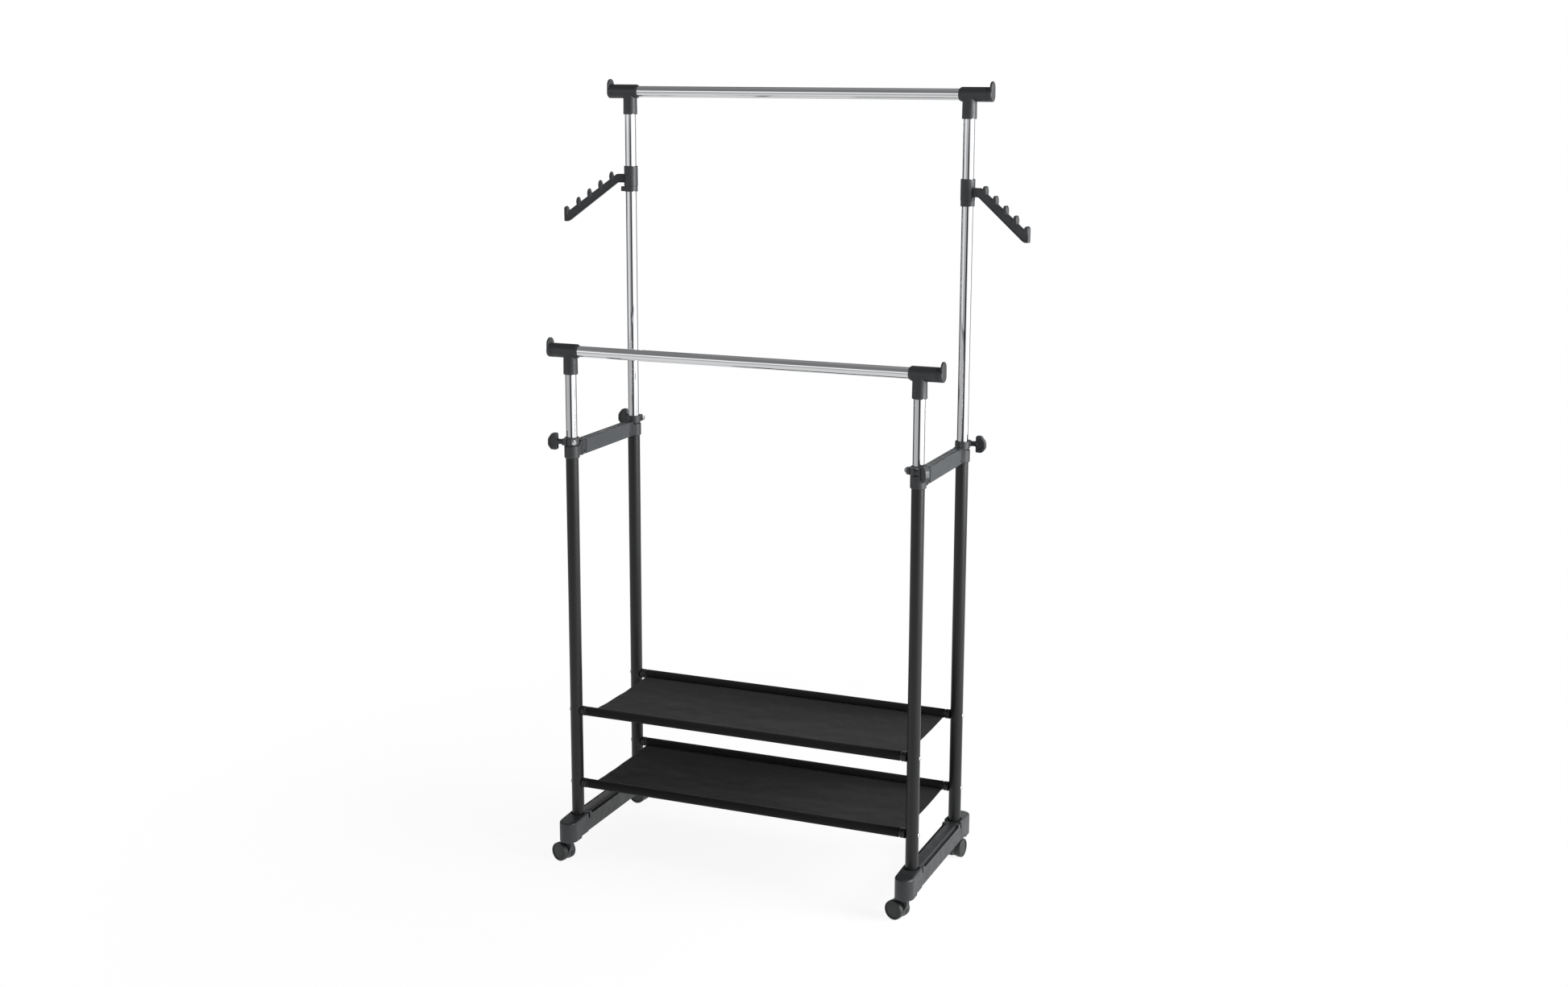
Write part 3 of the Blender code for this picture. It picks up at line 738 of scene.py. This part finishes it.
def casterWheel():
    # one closed disc wheel, its outer face up the +Z side
    c = caster
    out, r = c["halfTrack"] - c["innerFace"], c["wheelRadius"]
    disc = c["discRadius"]
    profile = filleted([
        (0.0, out - 0.0002), (disc - 0.0035, out - 0.0006, 0.004), (disc, out - 0.0014, 0.0003),
        (disc + 0.0008, out - 0.0014, 0.0003), (disc + 0.0012, out, 0.0005),
        (r - 0.0002, out, 0.0021), (r, out * 0.55, 0.002), (r, 0.0, 0.0012), (0.0152, 0.0, 0.0004),
        (0.0148, 0.0024, 0.0005), (0.0060, 0.0024, 0.0005), (0.0058, 0.0, 0.0003),
        (0.00262, 0.0, 0.0002), (0.00262, out - 0.0024), (0.0, out - 0.0024),
    ], closed=False, steps=4)
    return spun(profile, 72)


def casterHood():
    c = caster
    ax, az = -c["trail"], c["wheelRadius"]
    outline = arc(ax, az, 0.0184, -52.0, 232.0, 48)
    web = softened(slab(outline, -c["webHalf"], c["webHalf"], "Y"), 0.0009, 3, 45.0)
    neck = filleted([
        (ax + 0.002, 0.020), (0.0030, 0.020, 0.002), (0.0085, 0.0315, 0.004),
        (0.0085, 0.0405, 0.0015), (ax + 0.002, 0.0405),
    ], steps=5)
    neck = softened(slab(neck, -c["webHalf"] + 0.0003, c["webHalf"] - 0.0003, "Y"), 0.0006, 2)
    boss = spun(filleted([
        (0.0, 0.0388), (c["bossRadius"], 0.0388, 0.0006), (c["bossRadius"], 0.0438, 0.0010), (0.0, 0.0438),
    ], closed=False, steps=3), 48)
    collar = filleted([(0.0, 0.043), (0.0062, 0.043), (0.0062, 0.0443, 0.0003), (0.0, 0.0443)], closed=False)
    stem = spun([(0.0, 0.040), (0.0038, 0.040), (0.0038, 0.063), (0.0, 0.063)], 32)
    body = fuse(web, neck, boss, spun(collar, 48), stem)
    hole = laidAlongY(spun([(0.0, -0.02), (0.0027, -0.02), (0.0027, 0.02), (0.0, 0.02)], 24))
    hole.transform(Matrix.Translation((ax, 0.0, az)))
    return carve(body, hole)


def turnOf(joint):
    for entry in frame["record"]["behaviour"]["joints"]:
        if entry["name"] == joint:
            return entry


wheelShape, hoodShape = casterWheel(), casterHood()
for corner, end, side in corners():
    swivel = turnOf(f"caster_swivel_{corner}")["pos_m"]
    spin = turnOf(f"wheel_spin_{corner}_near")
    heading = math.degrees(math.atan2(swivel[1] - spin["pos_m"][1], swivel[0] - spin["pos_m"][0]))
    pivot = Vector((swivel[0], swivel[1], 0.0))
    hood, node = placed(hoodShape, pivot, heading), f"caster_housing_{corner}"
    finishPiece(f"casterHood_{corner}", hood, "plastic", f"caster_{corner}", [node], 35.0)
    for which, way in (("near", -1), ("far", 1)):
        wheel = wheelShape.copy()
        wheel.transform(Matrix.Rotation(math.radians(-90.0 * way), 4, "X"))
        hub = (-caster["trail"], way * caster["innerFace"], caster["wheelRadius"])
        wheel.transform(Matrix.Translation(hub))
        wheel = placed(wheel, pivot, heading)
        node = f"wheel_{corner}_{which}"
        finishPiece(f"casterWheel_{corner}_{which}", wheel, "wheel", node, [node], 32.0)
    axle = frame["nodes"][f"caster_axle_{corner}"]
    axle.data.materials.clear()
    axle.data.materials.append(finishes["zinc"])
print("casters assembled")


# tubes: black lower posts, bright upper posts and rails

tubes = {"blackRadius": 0.0125, "blackWall": 0.0012, "brightRadius": 0.0110, "brightWall": 0.0010}


def cutTube(node, kind, axis, count=56):
    # a hollow tube as long as the node, standing (axis 2) or lying along X (axis 0)
    (low, high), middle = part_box(node), centreOf(node)
    tube = hollowTube(tubes[f"{kind}Radius"], tubes[f"{kind}Wall"], low[axis], high[axis], count=count)
    if axis == 0:
        return placed(laidAlongX(tube), (0.0, middle[1], middle[2]))
    return placed(tube, (middle[0], middle[1], 0.0))


for corner, end, side in corners():
    node = f"lower_post_{corner}"
    finishPiece(f"blackPost_{corner}", cutTube(node, "black", 2), "paint", "base", [node], 30.0, False)
    node, mast = f"upper_post_{corner}", f"mast_{end}"
    finishPiece(f"brightPost_{corner}", cutTube(node, "bright", 2, 72), "chromeUp", mast, [node], 30.0, False)
for end in ends:
    node, mast = f"rail_{end}", f"mast_{end}"
    tube = cutTube(node, "bright", 0, 72)
    finishPiece(f"brightRail_{end}", tube, "chromeAcross", mast, [node], 30.0, False)
print("tubes cut")


# tees at the rail ends

tee = {
    "radius": 0.0140, "inner": 0.0200, "outer": 0.0470, "stem": 0.0460, "tongueRise": 0.0245,
    "tongueHalf": 0.0124, "tongueThick": 0.0048, "ringCount": 3, "ringPitch": 0.0022,
}


def teeMesh():
    t = tee
    r, out = t["radius"], t["outer"]
    profile = [(0.0, -t["inner"]), (r - 0.0026, -t["inner"], 0.0006), (r, -t["inner"] + 0.0046, 0.0040)]
    start = out - t["tongueThick"] - 0.0016 - t["ringCount"] * t["ringPitch"]
    for i in range(t["ringCount"]):
        x = start + i * t["ringPitch"]
        profile += [(r, x), (r - 0.00045, x + 0.0003), (r - 0.00045, x + 0.0008), (r, x + 0.0011)]
    profile += [(r, out - 0.002, 0.0), (r - 0.0012, out - 0.0006), (0.0, out - 0.0006)]
    body = laidAlongX(spun(filleted(profile, closed=False, steps=6), 64))
    stem = spun(filleted([
        (0.0, 0.0), (r - 0.0002, 0.0), (r + 0.0003, -t["stem"], 0.0012), (0.0, -t["stem"]),
    ], closed=False, steps=4), 64)
    w = t["tongueHalf"]
    outline = arc(0.0, t["tongueRise"] - w, w, 0.0, 180.0, 24) + arc(0.0, 0.0, r - 0.0002, 200.0, 340.0, 20)
    tongue = softened(slab(outline, out - t["tongueThick"], out - 0.0002, "X"), 0.0014, 4)
    whole = fuse(body, stem, tongue)
    railBore = laidAlongX(spun([(0.0, -0.03), (0.0113, -0.03), (0.0113, -0.0078), (0.0, -0.0078)], 64))
    postBore = spun([(0.0, -0.06), (0.0113, -0.06), (0.0113, -0.0138), (0.0, -0.0138)], 64)
    return carve(whole, railBore, postBore)


teeRight = teeMesh()
for corner, end, side in corners():
    node = f"tee_{corner}"
    post = centreOf(f"upper_post_{corner}")
    at = (post[0], post[1], centreOf(f"rail_{end}")[2])
    mesh = placed(teeRight, at, 0.0 if side == "right" else 180.0)
    finishPiece(f"railTee_{corner}", mesh, "plastic", f"mast_{end}", [node], 36.0)
print("tees fitted")


# side brackets: collars on the posts, beams between them

bracket = {
    "collarRadius": 0.0152, "collarLow": 0.831, "collarTop": 0.8555, "beamHalf": 0.0100, "beamLow": 0.833,
    "beamTop": 0.863, "stubEnd": 0.042, "ridgeDepth": 0.0012, "postBore": 0.0128,
}


def beamSection(grow=0.0):
    b = bracket
    half, low, top, dip = b["beamHalf"] + grow, b["beamLow"] - grow, b["beamTop"] + grow, b["ridgeDepth"]
    if grow:
        return filleted([(x, z, 0.0015) for x, z in ((-half, low), (half, low), (half, top), (-half, top))])
    right = [
        (half, low, 0.0014), (half, top, 0.0012), (0.0062, top, 0.0004), (0.0054, top - dip, 0.0003),
        (0.0040, top - dip, 0.0003), (0.0032, top, 0.0004),
    ]
    left = [(-x, z, radius) for x, z, radius in reversed(right)]
    return filleted(left[-1:] + right + left[:-1], steps=3)


def collarMesh():
    b = bracket
    r = b["collarRadius"]
    ring = spun(filleted([
        (0.0, b["collarTop"]), (r, b["collarTop"], 0.0009),
        (r, b["collarLow"], 0.0018), (0.0, b["collarLow"]),
    ], closed=False, steps=4), 64)
    tip, low, top = b["stubEnd"] - 0.0005, b["beamLow"] + 0.0004, b["beamTop"] - 0.0002
    profile = filleted([
        (0.004, low), (tip, low), (tip, top), (0.0212, top, 0.0016),
        (0.0172, b["collarTop"] - 0.0002, 0.002), (0.004, b["collarTop"] - 0.0006),
    ], steps=4)
    stub = slab(profile, -b["beamHalf"] + 0.0003, b["beamHalf"] - 0.0003, "X")
    stub = softened(stub, 0.0012, 3, 50.0)
    flange = softened(slab(beamSection(0.0006), -0.0262, -0.0240, "Y"), 0.0006, 2, 60.0)
    peg = [(0.0, -0.0112), (0.0022, -0.0112, 0.0006), (0.0022, 0.0112, 0.0006), (0.0, 0.0112)]
    bead = laidAlongX(spun(filleted(peg, closed=False), 24))
    bead.transform(Matrix.Translation((0.0, 0.0350, 0.8395)))
    bore = spun([(0.0, 0.80), (b["postBore"], 0.80), (b["postBore"], 0.90), (0.0, 0.90)], 64)
    return carve(fuse(ring, stub, flange, bead), bore)


collarShape = collarMesh()
for corner, end, side in corners():
    post = centreOf(f"lower_post_{corner}")
    mesh = placed(collarShape, (post[0], post[1], 0.0), 0.0 if end == "front" else 180.0)
    node = f"bracket_collar_{corner}"
    finishPiece(f"bracketCollar_{corner}", mesh, "plastic", "base", [node], 34.0)
for side in sides:
    node = f"bracket_beam_{side}"
    middle = centreOf(node)
    reach = postY - bracket["stubEnd"] - 0.0002
    mesh = placed(slab(beamSection(), -reach, reach, "Y"), (middle[0], 0.0, 0.0))
    finishPiece(f"bracketBeam_{side}", mesh, "plastic", "base", [node], 28.0)
print("side brackets joined")


# clamps that hold the bright posts at their height

clamp = {
    "low": 0.8580, "top": 0.8725, "radius": 0.0147, "boltOffset": 0.0163, "lugHalf": 0.0107, "slit": 0.0026,
    "wingIn": 0.0232, "wingOut": 0.0428, "wingTall": 0.0166, "wingHalf": 0.0056, "stemRadius": 0.0055,
}


def clampRing(lug):
    c = clamp
    z = (c["low"] + c["top"]) / 2
    band = spun(filleted([
        (0.0, c["low"]), (c["radius"], c["low"], 0.0010), (c["radius"], c["top"], 0.0012), (0.0, c["top"]),
    ], closed=False, steps=4), 64)
    near, far = sorted((lug * 0.0060, lug * (c["boltOffset"] + 0.0054)))
    ears = brick((-c["lugHalf"], near, c["low"] + 0.0003), (c["lugHalf"], far, c["top"] - 0.0003), 0.0016)
    near, far = sorted((lug * 0.004, lug * 0.030))
    slit = brick((-c["slit"] / 2, near, 0.85), (c["slit"] / 2, far, 0.88))
    bolt = laidAlongX(spun([(0.0, -0.02), (0.00255, -0.02), (0.00255, 0.02), (0.0, 0.02)], 32))
    bolt.transform(Matrix.Translation((0.0, lug * c["boltOffset"], z)))
    seatEnd = -c["lugHalf"] + 0.0006
    hexSeat = laidAlongX(spun([(0.0, -0.02), (0.0056, -0.02), (0.0056, seatEnd), (0.0, seatEnd)], 6))
    hexSeat.transform(Matrix.Translation((0.0, lug * c["boltOffset"], z)))
    bore = spun([(0.0, 0.84), (0.0128, 0.84), (0.0128, 0.90), (0.0, 0.90)], 64)
    rearLow, rearHigh = -lug * 0.0151 - 0.0012, -lug * 0.0132 + 0.0012
    lip = brick((-0.0022, rearLow, c["low"] + 0.001), (0.0022, rearHigh, c["top"]), 0.0005)
    return carve(fuse(band, ears, lip), bore, slit, bolt, hexSeat)


def clampKnob():
    c = clamp
    inner, outer, tall = c["wingIn"], c["wingOut"], c["wingTall"]
    outline = filleted([
        (inner, -tall, 0.0028), (outer - 0.0070, -tall, 0.0050), (outer, -0.0080, 0.008),
        (outer - 0.0004, 0.0050, 0.010), (outer - 0.0092, tall, 0.0060), (inner, tall, 0.0032),
    ], steps=7)
    wing = softened(slab(outline, -c["wingHalf"], c["wingHalf"], "Y"), 0.0016, 4, 60.0)
    dish = filleted([
        (inner + 0.0050, -0.0115, 0.003), (outer - 0.0072, -0.0115, 0.003), (outer - 0.0046, -0.002, 0.004),
        (outer - 0.0080, 0.0115, 0.003), (inner + 0.0050, 0.0115, 0.003),
    ], steps=5)
    for way in (-1, 1):
        near, far = sorted((way * (c["wingHalf"] - 0.0011), way * (c["wingHalf"] + 0.004)))
        wing = carve(wing, slab(dish, near, far, "Y"))
    stem = laidAlongX(spun(filleted([
        (0.0, c["lugHalf"] + 0.0004), (c["stemRadius"] + 0.0006, c["lugHalf"] + 0.0004, 0.0005),
        (c["stemRadius"] + 0.0006, 0.0128, 0.0005), (c["stemRadius"] - 0.0004, 0.0138, 0.0004),
        (c["stemRadius"] - 0.0002, 0.0200, 0.002), (0.0068, 0.0270, 0.002), (0.0, 0.0270),
    ], closed=False, steps=4), 48))
    screw = laidAlongX(spun(filleted([
        (0.0, -0.0180), (0.0024, -0.0180, 0.0005), (0.0024, 0.0140), (0.0, 0.0140),
    ], closed=False), 32))
    return fuse(wing, stem), screw


rings = {-1: clampRing(-1), 1: clampRing(1)}
knobShape, screwShape = clampKnob()
for corner, end, side in corners():
    joint = turnOf(f"clamp_screw_{corner}")
    heading = math.degrees(math.atan2(joint["axis"][1], joint["axis"][0]))
    post = centreOf(f"lower_post_{corner}")
    lug = sides[side] * ends[end]
    ring = placed(rings[lug], (post[0], post[1], 0.0), heading)
    finishPiece(f"clampRing_{corner}", ring, "plastic", "base", [f"clamp_ring_{corner}"], 34.0)
    body = f"clamp_knob_{corner}"
    knob = placed(knobShape, joint["pos_m"], heading)
    finishPiece(f"clampKnob_{corner}", knob, "plastic", body, [body], 34.0)
    screw = placed(screwShape, joint["pos_m"], heading)
    finishPiece(f"clampBolt_{corner}", screw, "zinc", body, (), 34.0)
    nut = laidAlongX(spun(filleted([
        (0.0024, -clamp["lugHalf"] - 0.0054), (0.0052, -clamp["lugHalf"] - 0.0054, 0.0006),
        (0.0052, -clamp["lugHalf"] - 0.0002, 0.0004), (0.0024, -clamp["lugHalf"] - 0.0002),
    ], closed=True), 6, ring=True))
    nut = placed(nut, joint["pos_m"], heading)
    finishPiece(f"clampNut_{corner}", nut, "zinc", "base", [f"clamp_nut_{corner}"], 25.0)
print("clamps tightened")


# hook arms on the taller frame

hook = {
    "sleeveRadius": 0.0141, "sleeveTall": 0.0410, "ringTall": 0.0112, "ringRadius": 0.0136, "armHalf": 0.0046,
    "lobeWide": 0.0043, "lobeTall": 0.0100, "pegs": 5, "pegFirst": 0.0404, "pegStep": 0.0232,
    "pegDrop": 0.0174, "edgeStart": 0.0160, "armDepth": 0.0146, "tipRise": 0.0158, "panelDepth": 0.0009,
    "swing": 16.4,
}


def armEdge(reach):
    # height of the arm's sloping top edge at a distance from the post
    return hook["edgeStart"] - hook["pegDrop"] / hook["pegStep"] * (reach - hook["pegFirst"])


def armOutline():
    h = hook
    tip = h["pegFirst"] + (h["pegs"] - 1) * h["pegStep"] + 0.0068
    low, peak = armEdge(tip) - h["armDepth"], armEdge(tip) + h["tipRise"]
    points = [(0.0080, 0.0070), (0.0265, 0.0070, 0.007)]
    points += [(tip - 0.0135, low + 0.0024, 0.006), (tip - 0.0085, low, 0.004), (tip, low, 0.0022)]
    points += [(tip, peak, 0.0042), (tip - 0.0092, peak, 0.0042)]
    points += [(tip - 0.0098, armEdge(tip - 0.0098), 0.0015)]
    points += [(0.0290, armEdge(0.0290), 0.006), (0.0080, armEdge(0.0290))]
    return filleted(points, steps=6)


def hookArm():
    h = hook
    plate = slab(armOutline(), -h["armHalf"], h["armHalf"], "Y")
    plate = softened(plate, 0.0010, 3, 60.0)
    work = bmesh.new()
    work.from_mesh(plate)
    flats = [face for face in work.faces if abs(face.normal.y) > 0.99 and face.calc_area() > 5e-4]
    for face in flats:
        bmesh.ops.inset_region(work, faces=[face], thickness=0.0013, depth=0.0)
        bmesh.ops.inset_region(work, faces=[face], thickness=0.0004, depth=-h["panelDepth"])
    work.to_mesh(plate)
    work.free()
    lobes, thick = [], h["armHalf"] + 0.0011
    for i in range(h["pegs"]):
        reach = h["pegFirst"] + i * h["pegStep"] + (0.0022 if i == h["pegs"] - 1 else 0.0)
        middle = armEdge(reach) + 0.0030
        turns = [math.radians(a) for a in range(0, 360, 12)]
        oval = [(reach + h["lobeWide"] * math.cos(t), middle + h["lobeTall"] * math.sin(t)) for t in turns]
        lobes.append(softened(slab(oval, -thick, thick, "Y"), 0.0014, 3, 60.0))
    tall = h["sleeveTall"]
    sleeve = spun(filleted([
        (0.0, tall), (h["sleeveRadius"], tall, 0.0009), (h["sleeveRadius"], 0.0001, 0.0004), (0.0, 0.0001),
    ], closed=False, steps=4), 64)
    bore = spun([(0.0, -0.01), (0.01125, -0.01), (0.01125, 0.06), (0.0, 0.06)], 64)
    return merged(carve(fuse(plate, sleeve), bore), *lobes)


def hookRing():
    h = hook
    low = -h["ringTall"]
    ring = spun(filleted([
        (0.0, low), (h["ringRadius"], low, 0.0012), (h["ringRadius"], 0.0, 0.0004), (0.0, 0.0),
    ], closed=False, steps=4), 64)
    tab = brick((0.006, -0.0045, low + 0.0003), (0.0213, 0.0045, -0.0009), 0.0012)
    slot = brick((0.0170, -0.0010, low - 0.01), (0.0230, 0.0010, 0.01))
    bore = spun([(0.0, -0.03), (0.0113, -0.03), (0.0113, 0.03), (0.0, 0.03)], 64)
    return carve(fuse(ring, tab), bore, slot)


armShape, ringShape = hookArm(), hookRing()
for side, way in sides.items():
    post = centreOf(f"upper_post_back_{side}")
    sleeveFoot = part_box(f"hook_ring_{side}")[1][2] + 0.0009
    at = (post[0], post[1], sleeveFoot - 0.0006)
    swing, turn = (-hook["swing"], 90.0) if way > 0 else (180.0 + hook["swing"], 180.0)
    arm, node = placed(armShape, at, swing), f"hook_arm_{side}"
    finishPiece(f"hookArm_{side}", arm, "plastic", node, [node], 34.0)
    ring, body = placed(ringShape, at, turn), f"hook_mount_{side}"
    finishPiece(f"hookRing_{side}", ring, "plastic", body, [f"hook_ring_{side}"], 34.0)
print("hook arms hung")


# shelves: rods, end fittings, screws and the stretched cloth

shelf = {
    "rodRadius": 0.0079, "fittingRadius": 0.0097, "fittingLength": 0.0105,
    "hemRadius": 0.0088, "hemIn": 0.0195, "hemEdge": 0.1245, "stitchEvery": 0.0042, "thick": 0.0008,
    "clothHalf": 0.3340, "sink": 0.0058, "sag": 0.0045, "wrinkle": 0.0011, "columns": 170, "rows": 56,
    "screwRadius": 0.0046, "screwOut": 0.0124,
}


def rodMesh(end):
    s = shelf
    outer, inner, back = s["fittingRadius"], s["rodRadius"] - 0.001, end - s["fittingLength"]
    fitting = spun(filleted([
        (inner, end), (outer - 0.0002, end, 0.0008), (outer, end - 0.0040, 0.0006),
        (outer - 0.0007, end - 0.0048, 0.0004), (outer - 0.0007, end - 0.0062, 0.0004),
        (outer, end - 0.0070, 0.0006), (outer - 0.0004, back, 0.0012), (inner, back),
    ], steps=3), 48, ring=True)
    right = laidAlongX(fitting)
    left = right.copy()
    left.transform(Matrix.Rotation(math.pi, 4, "Z"))
    span, rim = back + 0.004, s["rodRadius"]
    rod = spun([(rim, -span), (rim, span), (inner, span), (inner, -span)], 40, ring=True)
    return laidAlongX(rod), merged(right, left)


def clothLine():
    # the path of the cloth from one hem to the other, front to back, as (y, z) round the rods' height
    s = shelf
    r = s["hemRadius"]
    drop = math.degrees(math.asin(s["sink"] / r))
    path = arc(-postY, 0.0, r, 18.0 - drop, 360.0 - drop, 40)
    edge, level = path[-1]
    count = s["rows"]
    path += [(edge - 2.0 * edge * i / count, level) for i in range(1, count)]
    path += [(-y, z) for y, z in reversed(path[:41])]
    return path


def clothMesh(seed):
    s = shelf
    path = clothLine()
    columns = s["columns"]
    work = bmesh.new()
    grid = []
    for i in range(columns + 1):
        x = -s["clothHalf"] + 2 * s["clothHalf"] * i / columns
        column = []
        for y, z in path:
            inside = max(0.0, 1.0 - (abs(y) / 0.124) ** 2)
            across = math.sin(math.pi * i / columns)
            ripple = noise.noise(Vector((x * 9.0, y * 16.0, seed)))
            ripple += 0.5 * noise.noise(Vector((x * 26.0, y * 34.0, seed + 7.0)))
            crease = 0.35 * noise.noise(Vector((x * 60.0 + y * 30.0, y * 12.0, seed + 3.0)))
            fall = s["wrinkle"] * inside ** 0.5 * (ripple + crease)
            fall -= s["sag"] * inside * (0.55 + 0.45 * across)
            column.append(work.verts.new((x, y, z + (fall if abs(y) < s["hemEdge"] else 0.0))))
        grid.append(column)
    for a, b in zip(grid, grid[1:]):
        for j in range(len(path) - 1):
            work.faces.new((a[j], b[j], b[j + 1], a[j + 1]))
    bmesh.ops.recalc_face_normals(work, faces=work.faces)
    mesh = bpy.data.meshes.new("shelfCloth")
    work.to_mesh(mesh)
    work.free()
    length = sum(math.dist(p, q) for p, q in zip(path, path[1:]))
    return mesh, length


def clothHeight(mesh, x, y):
    # height of the stretched cloth at a place; the hem's upper turn, above the rods' middle, doesn't count
    below = [v.co for v in mesh.vertices if v.co.z < 0.0]
    return min(below, key=lambda p: (p.x - x) ** 2 + (p.y - y) ** 2).z


def stitchRow(mesh):
    # short raised thread stitches along both hems
    s = shelf
    pieces = bmesh.new()
    half, margin, samples = s["clothHalf"], 0.006, 40
    count = int(2 * (half - margin) / s["stitchEvery"])
    line = postY - s["hemIn"]
    for way in (-1, 1):
        levels = [clothHeight(mesh, -half + 2 * half * k / samples, way * line) for k in range(samples + 1)]
        for i in range(count):
            x = -half + margin + (i + 0.5) * s["stitchEvery"]
            place = (x + half) / (2 * half) * samples
            k = min(samples - 1, int(place))
            z = levels[k] + (levels[k + 1] - levels[k]) * (place - k)
            made = bmesh.ops.create_icosphere(pieces, subdivisions=1, radius=0.00045)["verts"]
            bmesh.ops.scale(pieces, verts=made, vec=(3.2, 1.0, 0.8))
            bmesh.ops.translate(pieces, verts=made, vec=(x, way * line, z + 0.0006))
    whole = bpy.data.meshes.new("stitches")
    pieces.to_mesh(whole)
    pieces.free()
    return whole


def screwHead():
    s = shelf
    r = s["screwRadius"]
    dome = [(0.0, 0.0), (r, 0.0, 0.0002), (r, 0.0010, 0.0006), (r * 0.55, 0.0023, 0.001), (0.0, 0.0025)]
    head = laidAlongX(spun(filleted(dome, closed=False), 40))
    for turn in (0.0, 90.0):
        blade = brick((0.0010, -0.0005, -0.0026), (0.004, 0.0005, 0.0026))
        blade.transform(Matrix.Rotation(math.radians(turn), 4, "X"))
        head = carve(head, blade)
    return head


headShape = screwHead()
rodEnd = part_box("shelf_rod_upper_front")[1][0]
rodShape, fittingShape = rodMesh(rodEnd)
for seed, level in enumerate(("lower", "upper")):
    height = centreOf(f"shelf_rod_{level}_front")[2]
    for end in ends:
        node = f"shelf_rod_{level}_{end}"
        y = centreOf(node)[1]
        rod, fittings = placed(rodShape, (0.0, y, height)), placed(fittingShape, (0.0, y, height))
        finishPiece(f"shelfRod_{level}_{end}", rod, "paint", "base", [node], 30.0, False)
        finishPiece(f"rodFitting_{level}_{end}", fittings, "paint", "base", (), 34.0, False)
        for side, toward in sides.items():
            x = toward * (postX + shelf["screwOut"])
            head = placed(headShape, (x, y, height + 0.0005), 0.0 if toward > 0 else 180.0)
            finishPiece(f"rodScrew_{level}_{end}_{side}", head, "zinc", "base", (), 30.0)
    cloth, length = clothMesh(11.0 + seed * 5.0)
    stitches, node = placed(stitchRow(cloth), (0.0, 0.0, height)), f"shelf_fabric_{level}"
    cloth = placed(cloth, (0.0, 0.0, height))
    sheetPiece = finishPiece(f"shelfCloth_{level}", cloth, "cloth", "base", [node], 180.0, False)
    body = sheetPiece.modifiers.new("clothBody", "SOLIDIFY")
    body.thickness = shelf["thick"]
    body.offset = 0.0
    seam = finishPiece(f"hemStitches_{level}", stitches, "thread", "base", (), 60.0, False)
    print(f"{level} shelf cloth: {2 * shelf['clothHalf']:.3f} x {length:.4f} m")
print("shelves covered")


# close

print("done")
